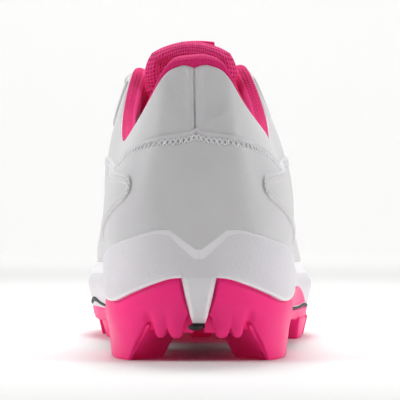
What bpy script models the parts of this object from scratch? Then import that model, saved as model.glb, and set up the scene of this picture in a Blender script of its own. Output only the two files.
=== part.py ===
"""Right-foot softball cleat: a low laced shoe with a hollow upper, a padded collar, a cupped white
midsole, a black plate and rubber outsole pieces with moulded studs.

The toe points along +Y, the outer side of the foot is +X, and the studs stand on Z = 0. Sizes and
tables are in millimetres, measured from the back of the heel; meshes are made in metres.
"""

import bmesh
import bpy
import numpy as np

MM = 0.001

# Driving sizes
SOLE_LENGTH = 278.0
BALL_WIDTH = 99.6
COLLAR_HEIGHT = 106.2
INSTEP_HEIGHT = 112.0
UPPER_WALL = 2.2
OVERLAY_WALL = 1.0
FIT_GAP = 0.35

# The sample size that the tables are drawn for
SAMPLE_LENGTH = 278.0
SAMPLE_BALL_WIDTH = 99.6
SAMPLE_COLLAR_HEIGHT = 106.2
SAMPLE_INSTEP_HEIGHT = 112.0
GRADE_ALONG = SOLE_LENGTH / SAMPLE_LENGTH
GRADE_ACROSS = BALL_WIDTH / SAMPLE_BALL_WIDTH
GRADE_COLLAR = COLLAR_HEIGHT / SAMPLE_COLLAR_HEIGHT
GRADE_INSTEP = INSTEP_HEIGHT / SAMPLE_INSTEP_HEIGHT

# Stations round the upper, from the back of the heel along the outer side to the toe and back along
# the inner side. foot: where the wall meets the footbed. edge: where it ends, at the collar or throat.
# low and high: the two handles of the wall's curve, outwards and upwards, from the foot and the edge.
STATION_COLUMNS = ("foot_x", "foot_y", "edge_x", "edge_y", "edge_z",
                   "low_out", "low_up", "high_out", "high_up")
STATIONS = {
    "heel_back": (0.0, 5.0, -1.4, 5.5, 106.2, 8.0, 26.0, -7.0, -24.0),
    "heel_tab_out": (9.5, 6.6, 6.0, 6.4, 105.2, 8.0, 26.0, -6.0, -24.0),
    "heel_corner_out": (21.0, 13.0, 13.8, 11.8, 96.8, 9.0, 25.0, 0.5, -22.0),
    "heel_side_out": (30.2, 38.0, 24.6, 36.0, 84.2, 7.8, 22.0, 7.0, -18.0),
    "ankle_out": (31.2, 66.0, 27.6, 60.0, 82.0, 7.4, 18.0, 8.0, -17.0),
    "collar_front_out": (32.5, 86.0, 26.5, 80.0, 93.5, 7.5, 20.0, 12.5, -20.0),
    "ear_out": (34.0, 106.0, 20.8, 97.0, 113.0, 10.5, 25.0, 10.5, -23.0),
    "instep_out": (38.0, 140.0, 16.5, 128.0, 100.5, 5.5, 19.0, 18.5, -12.0),
    "ball_out": (44.3, 176.0, 11.5, 162.0, 84.5, 5.5, 17.0, 19.0, -8.0),
    "vamp_out": (40.8, 218.0, 4.5, 186.0, 74.0, 4.0, 18.0, 22.0, -5.0),
    "toe_out": (25.0, 252.0, 0.0, 193.0, 71.3, 3.0, 19.0, 30.0, -4.0),
    "toe_tip": (-7.0, 271.0, -6.0, 195.5, 70.5, 3.0, 21.0, 38.0, -3.0),
    "toe_in": (-32.0, 253.0, -12.0, 193.0, 71.3, 3.0, 20.0, 32.0, -4.0),
    "vamp_in": (-42.4, 222.0, -16.5, 186.0, 74.0, 4.0, 19.0, 20.0, -5.0),
    "ball_in": (-43.8, 184.0, -22.0, 162.0, 84.5, 5.0, 20.0, 16.0, -6.0),
    "instep_in": (-36.0, 146.0, -25.5, 128.0, 100.0, 5.5, 25.0, 13.0, -13.0),
    "ear_in": (-30.5, 108.0, -27.8, 97.0, 111.6, 13.0, 27.0, 9.5, -23.0),
    "collar_front_in": (-29.5, 87.0, -30.5, 80.0, 93.0, 9.0, 24.0, 9.5, -20.0),
    "ankle_in": (-29.8, 66.0, -30.0, 60.0, 82.0, 8.4, 20.0, 6.5, -17.0),
    "heel_side_in": (-30.2, 38.0, -26.6, 36.0, 84.2, 8.4, 22.0, 7.0, -18.0),
    "heel_corner_in": (-21.0, 13.0, -16.4, 12.0, 96.8, 9.0, 25.0, 0.5, -22.0),
    "heel_tab_in": (-9.5, 6.6, -8.8, 6.4, 105.0, 8.0, 26.0, -6.0, -24.0),
}

# The sole along the foot: underside of the midsole and its footbed above the floor
SOLE_ALONG = (0.0, 62.0, 105.0, 150.0, 200.0, 242.0, 278.0)
SOLE_UNDERSIDE = (14.2, 14.0, 17.0, 12.2, 12.0, 15.4, 24.0)
SOLE_FOOTBED = (25.5, 25.5, 23.6, 21.0, 20.5, 24.0, 32.5)

# The cup's rim above the footbed, by distance from the back of the heel round the foot's outline:
# a flat-bottomed notch at the back, two humps, and a low even wall along the foot
RIM_NOTCH = 2.7
RIM_PEAK = 10.0
RIM_ROUND = (0.0, RIM_NOTCH, RIM_PEAK, 14.5, 20.0, 31.0, 45.0, 70.0, 110.0, 160.0, 240.0, 320.0)
RIM_RISE = (12.3, 12.3, 22.3, 22.0, 20.6, 17.8, 14.8, 11.6, 9.6, 9.4, 9.8, 12.5)
RIM_WIDTH = 0.7
RIM_CHAMFER = 1.6
CUP_WALL = 2.2
SOLE_WIDEST_RISE = 3.6
SOLE_FLARE = 5.4
SOLE_TUCK_HEEL = 4.4
SOLE_TUCK_FOOT = 2.6
HEEL_BLEND = (60.0, 115.0)

# Rubber at the heel: its top edge above the floor, each side of the white bridge at the back
BRIDGE_HALF = 5.6
BRIDGE_TAPER = 0.5
HEEL_RUBBER_END = 90.0
HEEL_RUBBER_ROUND = (0.0, BRIDGE_HALF, 9.0, 15.0, 22.5, 32.0, 40.0, 50.0, 64.0, 78.0, 90.0)
HEEL_RUBBER_TOP = (30.2, 30.2, 29.8, 27.7, 24.6, 21.4, 21.6, 23.6, 24.4, 21.6, 17.0)
RUBBER_WALL = 2.6
RUBBER_RECESS = 0.4
RUBBER_SHEET = 1.6
HEEL_SHEET_WIDTH = 19.0
PLATE_THICK = 1.9
PLATE_LIP = -0.2
FOREFOOT_RUBBER_START = 128.0
STEP_GAP = 0.3
MERGE_DISTANCE = 0.002

# Studs flush with the sole's side. Distances round the outline at the foot and at the tip, then how
# far the tip is set in, and how deep the stud runs in from the side at its foot and tip
HEEL_CORNER_FOOT = (18.5, 26.0, 34.0, 44.0, 54.0)
HEEL_CORNER_TIP = (26.0, 31.0, 37.0, 44.0, 51.0)
HEEL_CORNER_INNER_FOOT = (9.5, 40.0)
HEEL_CORNER_INNER_TIP = (13.0, 36.0)
HEEL_TEETH = ((6.6, 10.8), (11.4, 16.4))
HEEL_TOOTH_DROP = 8.8
HEEL_TOOTH_DEPTH = 9.0
SIDE_STUD_COLUMNS = ("foot_from", "foot_to", "tip_from", "tip_to", "foot_depth", "tip_depth", "inset")
HEEL_FRONT_STUD = (68.0, 86.0, 71.0, 83.0, 13.0, 9.5, 0.6)
FOREFOOT_OUTER_STUDS = {
    "rear": (161.0, 181.0, 164.5, 177.5, 14.0, 9.5, -0.9),
    "middle": (195.0, 215.0, 198.5, 211.5, 14.0, 9.5, -0.9),
    "front": (230.0, 248.0, 233.0, 245.0, 14.0, 9.5, -0.9),
}
FOREFOOT_INNER_STUDS = {
    "rear": (166.0, 186.0, 169.5, 182.5, 14.0, 9.5, 1.8),
    "middle": (201.0, 221.0, 204.5, 217.5, 14.0, 9.5, 1.8),
    "front": (235.0, 253.0, 238.0, 250.0, 14.0, 9.5, 1.8),
}
SIDE_STUD_LEAN = 1.8
# Studs inside the outline. name: x, y, length along the foot, width, turn in degrees
FOREFOOT_STUDS = {
    "toe_out": (11.0, 250.0, 15.0, 12.0, 42.0),
    "toe_in": (-21.0, 252.0, 15.0, 12.0, -36.0),
    "centre_rear": (1.0, 176.0, 15.0, 13.0, 0.0),
    "centre_front": (-2.0, 214.0, 15.0, 13.0, 0.0),
}
STUD_TAPER = 0.66
STUD_SINK = 0.8
SPRING_START = 205.0

# Overlays on the upper, as shares of the wall's height from the footbed to its edge
COUNTER_END = 72.0
COUNTER_TOP_ROUND = (0.0, 3.0, 20.0, 40.0, 56.0, 72.0)
COUNTER_TOP_HEIGHT = (83.0, 82.6, 79.0, 72.5, 66.0, 57.0)
EYESTAY_WIDTH = 19.0
PANEL_COLUMNS = ("round", "top", "low")
PANEL_ROWS = ((37.0, 64.0, 59.0), (44.0, 67.5, 54.0), (56.0, 70.5, 47.5), (74.0, 73.0, 41.0),
              (100.0, 76.5, 34.0), (128.0, 76.0, 33.0), (152.0, 72.0, 33.0))
PANEL_RIM_GAP = 0.8

# Padded lining of the collar
LINING_ROWS = (6, 7, 8, 9)
LINING_PAD = 4.2
LINING_ROLL = 2.4
LINING_TAPER = 30.0
LINING_GAP = 0.55

# Tongue, label, insole and lace
TONGUE_THICK = 4.6
TONGUE_CLEAR = 0.6
TONGUE_TUCK = 0.90
TONGUE_CROWN = 3.0
TONGUE_TOE = 12.0
TONGUE_SINK = 2.4
TONGUE_FREE_ROWS = ((4.0, 17.4, 7.6), (8.0, 17.6, 8.4), (11.5, 16.4, 7.0), (13.2, 14.2, 4.6))
TONGUE_CENTRE_X = -3.2
TONGUE_LEAN = (0.0, -0.42, 0.91)
LABEL_SIZE = (15.0, 1.4, 11.0)
INSOLE_THICK = 4.0
LACE_WIDTH = 6.6
LACE_THICK = 1.5
LACE_LIFT = 1.3
LACE_ARCH = 1.4
LACE_OVER = 0.9
LACE_SLANT = 0.08
EYELET_ROWS = 6
EYELET_INSET = 8.0

WHITE_LEATHER = ((0.80, 0.79, 0.81, 1.0), 0.48)
WHITE_FOAM = ((0.82, 0.80, 0.84, 1.0), 0.42)
PINK_RUBBER = ((0.92, 0.045, 0.235, 1.0), 0.45)
PINK_CLOTH = ((0.90, 0.05, 0.27, 1.0), 0.85)
BLACK_PLATE = ((0.015, 0.015, 0.016, 1.0), 0.40)


def smooth_table(at, places, values):
    """A smooth curve through a table: cubic pieces whose slope at each row comes from its neighbours."""
    places = np.asarray(places, float)
    values = np.asarray(values, float)
    slopes = np.gradient(values, places)
    at = np.clip(np.asarray(at, float), places[0], places[-1])
    i = np.clip(np.searchsorted(places, at, side="right") - 1, 0, len(places) - 2)
    step = places[i + 1] - places[i]
    u = (at - places[i]) / step
    rise = values[i + 1] - values[i]
    bend = (1 - u) * (slopes[i] * step - rise) + u * (rise - slopes[i + 1] * step)
    return values[i] + u * rise + u * (1 - u) * bend


class ClosedSpline:
    """The closed curve with even curvature through rows, each a tuple of columns, by chord length."""

    def __init__(self, rows, chords):
        self.rows = np.vstack([rows, rows[:1]])
        self.knots = np.concatenate([[0.0], np.cumsum(chords)])
        self.length = self.knots[-1]
        count = len(chords)
        before = np.roll(chords, 1)
        slope = (self.rows[1:] - self.rows[:-1]) / chords[:, None]
        matrix = np.diag(2 * (before + chords))
        for i in range(count):
            matrix[i, i - 1] += before[i]
            matrix[i, (i + 1) % count] += chords[i]
        bends = np.linalg.solve(matrix, 6 * (slope - np.roll(slope, 1, axis=0)))
        self.bends = np.vstack([bends, bends[:1]])

    def __call__(self, at):
        at = np.mod(np.asarray(at, float), self.length)
        i = np.clip(np.searchsorted(self.knots, at, side="right") - 1, 0, len(self.knots) - 2)
        step = (self.knots[i + 1] - self.knots[i])[..., None]
        b = (at[..., None] - self.knots[i][..., None]) / step
        a = 1 - b
        bow = (a**3 - a) * self.bends[i] + (b**3 - b) * self.bends[i + 1]
        return a * self.rows[i] + b * self.rows[i + 1] + bow * step**2 / 6


def graded_stations():
    """The station table at the driving sizes: heel and ankle edges follow the collar, the rest the instep."""
    rows = np.array(list(STATIONS.values()))
    columns = {name: i for i, name in enumerate(STATION_COLUMNS)}
    rows[:, [columns["foot_x"], columns["edge_x"]]] *= GRADE_ACROSS
    rows[:, [columns["foot_y"], columns["edge_y"]]] *= GRADE_ALONG
    rear = np.array([name.startswith(("heel", "ankle")) for name in STATIONS])
    rows[:, columns["edge_z"]] *= np.where(rear, GRADE_COLLAR, GRADE_INSTEP)
    return rows


ROWS = graded_stations()
CHORDS = np.linalg.norm(np.roll(ROWS[:, :2], -1, axis=0) - ROWS[:, :2], axis=1)
SHAPE = ClosedSpline(ROWS, CHORDS)
PLACE = dict(zip(STATIONS, SHAPE.knots))
ROUND = SHAPE.length


def along_table(y, values):
    return smooth_table(y, np.array(SOLE_ALONG) * GRADE_ALONG, values)


def underside(y):
    return along_table(y, SOLE_UNDERSIDE)


def footbed(y):
    return along_table(y, SOLE_FOOTBED)


def heel_distance(place):
    """Distance from the back of the heel round the outline, the same on both sides."""
    place = np.mod(np.asarray(place, float), ROUND)
    return np.minimum(place, ROUND - place)


def outline(place):
    """Foot points and outward directions of the upper's lower edge, in plan."""
    ahead = SHAPE(np.asarray(place) + 0.05)[..., :2]
    behind = SHAPE(np.asarray(place) - 0.05)[..., :2]
    tangent = ahead - behind
    tangent /= np.linalg.norm(tangent, axis=-1, keepdims=True)
    outward = np.stack([tangent[..., 1], -tangent[..., 0]], axis=-1)
    return SHAPE(place)[..., :2], outward


def upper_point(place, share):
    """The outer face of the upper: one cubic curve at each place, from footbed (0) to edge (1)."""
    place, share = np.broadcast_arrays(np.asarray(place, float), np.asarray(share, float))
    row = SHAPE(place)
    _, outward = outline(place)
    foot = np.stack([row[..., 0], row[..., 1], footbed(row[..., 1]) + FIT_GAP], axis=-1)
    edge = row[..., 2:5]

    def handle(start, out, up):
        return start + np.concatenate([outward * out[..., None], up[..., None]], axis=-1)

    low = handle(foot, row[..., 5], row[..., 6])
    high = handle(edge, row[..., 7], row[..., 8])
    u = share[..., None]
    v = 1 - u
    return v**3 * foot + 3 * v * v * u * low + 3 * v * u * u * high + u**3 * edge


def upper_normal(place, share):
    """Unit normals of the upper's outer face, from its slopes round and up the wall."""
    step_round, step_up = 0.2, 0.004
    low = np.clip(np.asarray(share, float) - step_up, 0, 1)
    high = np.clip(np.asarray(share, float) + step_up, 0, 1)
    place = np.asarray(place, float)
    round_slope = upper_point(place + step_round, share) - upper_point(place - step_round, share)
    up_slope = upper_point(place, high) - upper_point(place, low)
    normal = np.cross(round_slope, up_slope)
    return normal / np.linalg.norm(normal, axis=-1, keepdims=True)


def upper_offset(place, share, out):
    """A point beside the upper's outer face, out millimetres along its normal."""
    return upper_point(place, share) + upper_normal(place, share) * np.asarray(out, float)[..., None]


def share_at_height(place, height):
    """How far up the wall, as a share, the upper reaches a height above the floor."""
    place = np.asarray(place, float)
    steps = np.linspace(0, 1, 81)
    heights = upper_point(place[:, None], steps[None, :])[..., 2]
    return np.array([np.interp(h, np.maximum.accumulate(row), steps) for h, row in zip(height, heights)])


def rim_height(place):
    """Top of the cup: straight runs at the notch, rounded along the foot."""
    distance = heel_distance(place)
    rise = np.where(distance < RIM_PEAK,
                    np.interp(distance, RIM_ROUND, RIM_RISE),
                    smooth_table(distance, RIM_ROUND[2:], RIM_RISE[2:]))
    return footbed(SHAPE(place)[..., 1]) + rise


def sample_places():
    """Places round the shoe, the same number on each side: the heel's breaks first, then even steps."""
    breaks = (0.0, RIM_NOTCH, BRIDGE_HALF - STEP_GAP, BRIDGE_HALF, RIM_PEAK)
    rubber = np.linspace(RIM_PEAK, HEEL_RUBBER_END, 12)[1:]
    heel = np.concatenate([breaks, rubber, [HEEL_RUBBER_END + STEP_GAP]])

    def forward(ear, toe):
        return np.concatenate([np.linspace(heel[-1], ear, 5)[1:], np.linspace(ear, toe, 21)[1:]])

    outer = forward(PLACE["ear_out"], PLACE["toe_tip"])
    inner = forward(ROUND - PLACE["ear_in"], ROUND - PLACE["toe_tip"])
    return np.concatenate([heel, outer, ROUND - inner[-2::-1], ROUND - heel[:0:-1]])


PLACES = sample_places()
COUNT = len(PLACES)
TOE_INDEX = COUNT // 2


def between(start, end):
    """The sample places from one place to another, going round over the heel if start is larger."""
    if start < end:
        return PLACES[(PLACES >= start) & (PLACES <= end)]
    return np.concatenate([PLACES[PLACES >= start], PLACES[PLACES <= end] + ROUND])


def material(name, finish):
    colour, roughness = finish
    made = bpy.data.materials.new(name)
    made.use_nodes = True
    shader = made.node_tree.nodes["Principled BSDF"]
    shader.inputs["Base Color"].default_value = colour
    shader.inputs["Roughness"].default_value = roughness
    shader.inputs["Metallic"].default_value = 0.0
    made.diffuse_color = colour
    return made


def add_object(name, bm, finish, parent):
    """Closes a bmesh off as one named object under the shoe's origin."""
    bmesh.ops.recalc_face_normals(bm, faces=bm.faces)
    mesh = bpy.data.meshes.new(name)
    bm.to_mesh(mesh)
    bm.free()
    mesh.shade_smooth()
    mesh.set_sharp_from_angle(angle=np.radians(35))
    mesh.materials.append(material(name, finish))
    made = bpy.data.objects.new(name, mesh)
    bpy.context.scene.collection.objects.link(made)
    made.parent = parent
    return made


def add_grid(bm, points, wrap_rows=False, wrap_columns=False):
    """Vertices and quads for a grid of points (rows, columns, 3), joined at its ends where it wraps."""
    rows, columns = points.shape[:2]
    verts = [[bm.verts.new(p * MM) for p in row] for row in points]
    for i in range(rows if wrap_rows else rows - 1):
        for j in range(columns if wrap_columns else columns - 1):
            k, m = (i + 1) % rows, (j + 1) % columns
            bm.faces.new((verts[i][j], verts[i][m], verts[k][m], verts[k][j]))
    return verts


def ladder_cap(bm, ring):
    """Closes a ring of vertices with rungs from its outer side to its inner side."""
    bm.faces.new((ring[0], ring[1], ring[-1]))
    for i in range(1, TOE_INDEX - 1):
        bm.faces.new((ring[i], ring[i + 1], ring[-i - 1], ring[-i]))
    bm.faces.new((ring[TOE_INDEX - 1], ring[TOE_INDEX], ring[TOE_INDEX + 1]))


def ring_solid(name, rings, finish, parent):
    """A solid of rings round the shoe, from its lower cap to its upper cap."""
    bm = bmesh.new()
    verts = add_grid(bm, rings, wrap_columns=True)
    ladder_cap(bm, verts[0])
    ladder_cap(bm, verts[-1])
    return add_object(name, bm, finish, parent)


def end_cap(bm, ring):
    """Closes a section with rungs between its first and second halves."""
    first, last = 0, len(ring) - 1
    while last - first > 2:
        bm.faces.new((ring[first], ring[first + 1], ring[last - 1], ring[last]))
        first, last = first + 1, last - 1
    if last - first == 2:
        bm.faces.new((ring[first], ring[first + 1], ring[last]))


def strip_solid(name, sections, finish, parent):
    """A solid of closed sections along a path, with its two ends capped."""
    bm = bmesh.new()
    verts = add_grid(bm, sections, wrap_columns=True)
    end_cap(bm, verts[0])
    end_cap(bm, verts[-1])
    return add_object(name, bm, finish, parent)


def shell_sections(outer, inner):
    """Closed sections from an outer and an inner sheet, both (sections, points, 3)."""
    return np.concatenate([outer, inner[:, ::-1]], axis=1)


def union(target, cutters):
    """Joins solids into the target for good, and removes them."""
    for cutter in cutters:
        join = target.modifiers.new("join", "BOOLEAN")
        join.operation = "UNION"
        join.solver = "EXACT"
        join.object = cutter
    bpy.context.view_layer.update()
    graph = bpy.context.evaluated_depsgraph_get()
    whole = bpy.data.meshes.new_from_object(target.evaluated_get(graph))
    target.modifiers.clear()
    bm = bmesh.new()
    bm.from_mesh(whole)
    bmesh.ops.remove_doubles(bm, verts=bm.verts, dist=MERGE_DISTANCE * MM)
    bmesh.ops.dissolve_degenerate(bm, edges=bm.edges, dist=0.1 * MERGE_DISTANCE * MM)
    bmesh.ops.triangulate(bm, faces=bm.faces)
    bm.to_mesh(target.data)
    bm.free()
    bpy.data.meshes.remove(whole)
    for cutter in cutters:
        bpy.data.objects.remove(cutter)


RIM_SHARES = share_at_height(PLACES, rim_height(PLACES))


def wall_shares(places):
    """Rows up the wall: three inside the cup, up to its rim, and even steps to the edge."""
    rim = share_at_height(places, rim_height(places))
    inside = np.array([0.0, 0.5, 1.0])[:, None] * rim
    steps = np.linspace(0, 1, 8)[1:, None]
    above = rim + steps * (1 - rim)
    return np.vstack([inside, above])


def add_upper(parent):
    """The white leather shell: outer face up, edge, inner face down, all round the foot."""
    shares = wall_shares(PLACES)
    outer = upper_point(PLACES, shares)
    inner = upper_offset(PLACES, shares, np.full(shares.shape, -UPPER_WALL))
    inner[0, :, 2] = outer[0, :, 2]
    bm = bmesh.new()
    add_grid(bm, np.concatenate([outer, inner[::-1]]), wrap_rows=True, wrap_columns=True)
    return add_object("upper", bm, WHITE_LEATHER, parent)


def overlay(name, places, shares, lift, finish, parent):
    """A raised panel on the upper, between two offsets of its outer face."""
    lift = lift * np.ones(shares.shape)
    inner = upper_offset(places[:, None], shares, lift)
    outer = upper_offset(places[:, None], shares, lift + OVERLAY_WALL)
    return strip_solid(name, shell_sections(outer, inner), finish, parent)


def add_heel_counter(parent):
    """The stitched panel round the heel, from the cup's rim to its arched top edge."""
    places = between(ROUND - COUNTER_END, COUNTER_END)
    top = share_at_height(places, smooth_table(heel_distance(places), COUNTER_TOP_ROUND, COUNTER_TOP_HEIGHT))
    low = share_at_height(places, rim_height(places) + 0.8)
    steps = np.linspace(0, 1, 6)
    shares = low[:, None] + steps * (top - low)[:, None]
    overlay("heel_counter", places, shares, FIT_GAP, WHITE_LEATHER, parent)


def add_eyestay(parent):
    """The lace band along both edges of the throat, in one piece round the foot of the tongue."""
    places = between(PLACE["ear_out"] - 4, PLACE["ear_in"] + 4)
    wall = np.linalg.norm(upper_point(places, 1.0) - upper_point(places, 0.7), axis=-1) / 0.3
    low = 1 - EYESTAY_WIDTH / wall
    shares = low[:, None] + np.linspace(0, 1, 4) * (0.995 - low)[:, None]
    overlay("eyestay", places, shares, FIT_GAP, WHITE_LEATHER, parent)


def wall_offset(place, height):
    """How far the sole's side stands out from the foot's outline, at a height above the floor."""
    foot, outward = outline(place)
    base, bed, rim = underside(foot[:, 1]), footbed(foot[:, 1]), rim_height(place)
    lip = upper_point(place, share_at_height(place, rim))
    lip_out = np.sum((lip[:, :2] - foot) * outward, axis=-1) + FIT_GAP + CUP_WALL
    rows_z = (base - 4.0, base, bed + SOLE_WIDEST_RISE - 2.0, bed + SOLE_WIDEST_RISE, rim - RIM_CHAMFER)
    tuck = np.interp(heel_distance(place), HEEL_BLEND, (SOLE_TUCK_HEEL, SOLE_TUCK_FOOT))
    flare = np.full(tuck.shape, SOLE_FLARE)
    rows_out = (tuck - 0.6, tuck, flare - 0.2, flare, np.maximum(lip_out, RIM_WIDTH + FIT_GAP + 1.0))
    zs, outs = np.stack(rows_z, -1), np.stack(rows_out, -1)
    return np.array([np.interp(h, z, o) for h, z, o in zip(height, zs, outs)])


def side_point(place, height, inset):
    """A point on the sole's side, set in from its face."""
    foot, outward = outline(place)
    out = wall_offset(place, height) - inset
    return np.column_stack([foot + outward * out[:, None], height])


def tapered(place, height):
    """Places near the back of the heel drawn together towards the floor, so that the bridge narrows."""
    signed = np.where(place > ROUND / 2, place - ROUND, place)
    near = np.clip((2.2 * BRIDGE_HALF - np.abs(signed)) / BRIDGE_HALF, 0, 1)
    drop = np.clip((HEEL_RUBBER_TOP[0] - height) / (HEEL_RUBBER_TOP[0] - SOLE_UNDERSIDE[0]), 0, 1)
    return np.mod(signed * (1 - BRIDGE_TAPER * near * drop), ROUND)


def heel_rubber_top(place):
    return smooth_table(heel_distance(place), HEEL_RUBBER_ROUND, HEEL_RUBBER_TOP)


def in_heel_rubber(place):
    distance = heel_distance(place)
    return (distance > BRIDGE_HALF - 0.5 * STEP_GAP) & (distance < HEEL_RUBBER_END + 0.5 * STEP_GAP)


def add_midsole(parent):
    """The white cup: underside, side with a recess for the heel rubber, rim with a chamfer, and footbed."""
    foot_y = SHAPE(PLACES)[:, 1]
    base, bed, rim = underside(foot_y), footbed(foot_y), rim_height(PLACES)
    rubber = in_heel_rubber(PLACES)
    recess = np.where(rubber, RUBBER_WALL + RUBBER_RECESS + STEP_GAP, 0.0)
    step = np.where(rubber, heel_rubber_top(PLACES) + STEP_GAP, base + 6.0)
    widest = np.maximum(bed + SOLE_WIDEST_RISE, step + 1.0)

    def side(height, inset):
        return side_point(tapered(PLACES, height), height, inset)

    lip = upper_offset(PLACES, RIM_SHARES, np.full(COUNT, FIT_GAP))
    lip[:, 2] = rim
    crest = upper_offset(PLACES, RIM_SHARES, np.full(COUNT, FIT_GAP + RIM_WIDTH))
    crest[:, 2] = rim
    middle = upper_offset(PLACES, 0.5 * RIM_SHARES, np.full(COUNT, FIT_GAP))
    floor = upper_offset(PLACES, 0.0 * RIM_SHARES, np.full(COUNT, FIT_GAP))
    floor[:, 2] = bed
    rings = np.stack([
        side(base, recess + 1.0), side(base + 1.2, recess), side(step - 0.01, recess), side(step, 0 * recess),
        side(widest, 0 * recess), side(rim - RIM_CHAMFER, 0 * recess), crest, lip, middle, floor])
    ring_solid("midsole", rings, WHITE_FOAM, parent)


def add_plate(parent):
    """The black plate under the midsole: it shows as a thin line along the foot and under the bridge."""
    foot_y = SHAPE(PLACES)[:, 1]
    top = underside(foot_y) - STEP_GAP
    inset = np.where(in_heel_rubber(PLACES), RUBBER_WALL + RUBBER_RECESS + 1.3, -PLATE_LIP)
    inset = np.where(heel_distance(PLACES) < BRIDGE_HALF, RUBBER_WALL + RUBBER_RECESS + 1.3, inset)
    inset = np.where(heel_distance(PLACES) < 0.5 * RIM_NOTCH, 2.4, inset)

    def ring(drop):
        foot, outward = outline(PLACES)
        out = wall_offset(PLACES, top + STEP_GAP) - inset
        return np.column_stack([foot + outward * out[:, None], top - drop])

    ring_solid("plate", np.stack([ring(PLATE_THICK), ring(0.0)]), BLACK_PLATE, parent)


def stud(foot_points, tip_points, foot_z, tip_z, parent):
    """One moulded stud: a tapered block from its foot in the rubber to its flat tip."""
    foot = np.column_stack([np.array(foot_points), foot_z * np.ones(len(foot_points))])
    tip = np.column_stack([np.array(tip_points), np.full(len(tip_points), tip_z)])
    return strip_solid("stud", np.stack([foot, tip]), PINK_RUBBER, parent)


def chevron(x, y, length, width, turn, scale):
    """Plan points of a forefoot stud: a block with a pointed front and a notched back."""
    half_l, half_w = 0.5 * length * scale, 0.5 * width * scale
    points = np.array([(-half_w, -half_l), (0.0, -0.72 * half_l), (half_w, -half_l),
                       (half_w, 0.55 * half_l), (0.0, half_l), (-half_w, 0.55 * half_l)])
    angle = np.radians(turn)
    spin = np.array([[np.cos(angle), -np.sin(angle)], [np.sin(angle), np.cos(angle)]])
    return points @ spin.T + (x * GRADE_ACROSS, y * GRADE_ALONG)


def toe_lift(y):
    """How far a stud's tip is off the floor, where the sole springs up to the toe."""
    return float(underside(max(y, SPRING_START)) - underside(SPRING_START))


def side_plan(places, inset):
    """Plan points on the sole's side at its underside, set in from the face."""
    places = np.asarray(places, float)
    return side_point(places, underside(outline(places)[0][:, 1]), inset)[:, :2]


def side_stud(row, inner_side, drop, parent):
    """A stud flush with the sole's side, from four corners round the outline and its two depths."""
    foot_from, foot_to, tip_from, tip_to, foot_depth, tip_depth, set_in = row

    def corners(start, end, inset, depth):
        places = np.array([start, 0.5 * (start + end), end])
        places = ROUND - places if inner_side else places
        near = side_plan(places, inset)
        far = side_plan(places, inset + depth)
        return np.concatenate([near, far[::-1]])

    foot = corners(foot_from, foot_to, set_in, foot_depth)
    tip = corners(tip_from, tip_to, set_in + SIDE_STUD_LEAN, tip_depth)
    return stud(foot, tip, underside(foot[:, 1]) - drop, toe_lift(tip[:, 1].mean()), parent)


def add_heel_rubber(name, inner_side, parent):
    """Half of the heel's rubber: a wall up the side of the cup, a sheet under it, studs and teeth."""
    distance = between(BRIDGE_HALF - 0.01, HEEL_RUBBER_END + 0.01)
    ends = np.where(distance < BRIDGE_HALF + 0.1, STEP_GAP, 0.0)
    ends = ends - np.where(distance > HEEL_RUBBER_END - 0.1, STEP_GAP, 0.0)

    def around(steps):
        return ROUND - np.asarray(steps) if inner_side else np.asarray(steps)

    places = around(distance)
    drop = STEP_GAP + PLATE_THICK + STEP_GAP
    base = underside(SHAPE(places)[:, 1]) - drop
    top = heel_rubber_top(places)

    def side(height, inset):
        at = tapered(places, height) + (-ends if inner_side else ends)
        return side_point(at, height, inset)

    def under(height):
        foot, outward = outline(places)
        return np.column_stack([foot - outward * HEEL_SHEET_WIDTH, height])

    wall_in = RUBBER_WALL + RUBBER_RECESS
    sections = np.stack([
        side(top, RUBBER_RECESS), side(0.5 * (top + base), RUBBER_RECESS), side(base, RUBBER_RECESS),
        side(base - RUBBER_SHEET, RUBBER_RECESS + 0.3), under(base - RUBBER_SHEET),
        under(base), side(base, wall_in), side(0.5 * (top + base), wall_in),
        side(top, wall_in)], axis=1)
    rubber = strip_solid(name, sections, PINK_RUBBER, parent)

    flip = np.array([-1.0, 1.0]) if inner_side else np.array([1.0, 1.0])
    sheet = base.min() - STUD_SINK
    foot = np.vstack([side_plan(around(HEEL_CORNER_FOOT), RUBBER_RECESS + 0.3),
                      HEEL_CORNER_INNER_FOOT * flip])
    tip = np.vstack([side_plan(around(HEEL_CORNER_TIP), RUBBER_RECESS + SIDE_STUD_LEAN),
                     HEEL_CORNER_INNER_TIP * flip])
    studs = [stud(foot, tip, sheet, 0.0, parent)]
    studs.append(side_stud(HEEL_FRONT_STUD, inner_side, drop + STUD_SINK, parent))
    for start, end in HEEL_TEETH:
        foot_near = side_plan(around((start, end)), RUBBER_RECESS + 0.3)
        foot_far = side_plan(around((end, start)), HEEL_TOOTH_DEPTH)
        tip_near = side_plan(around((start + 0.6, end - 0.6)), RUBBER_RECESS + 0.9)
        tip_far = side_plan(around((end - 0.6, start + 0.6)), HEEL_TOOTH_DEPTH)
        studs.append(stud(np.vstack([foot_near, foot_far]), np.vstack([tip_near, tip_far]), sheet,
                          HEEL_TOOTH_DROP, parent))
    union(rubber, studs)


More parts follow.
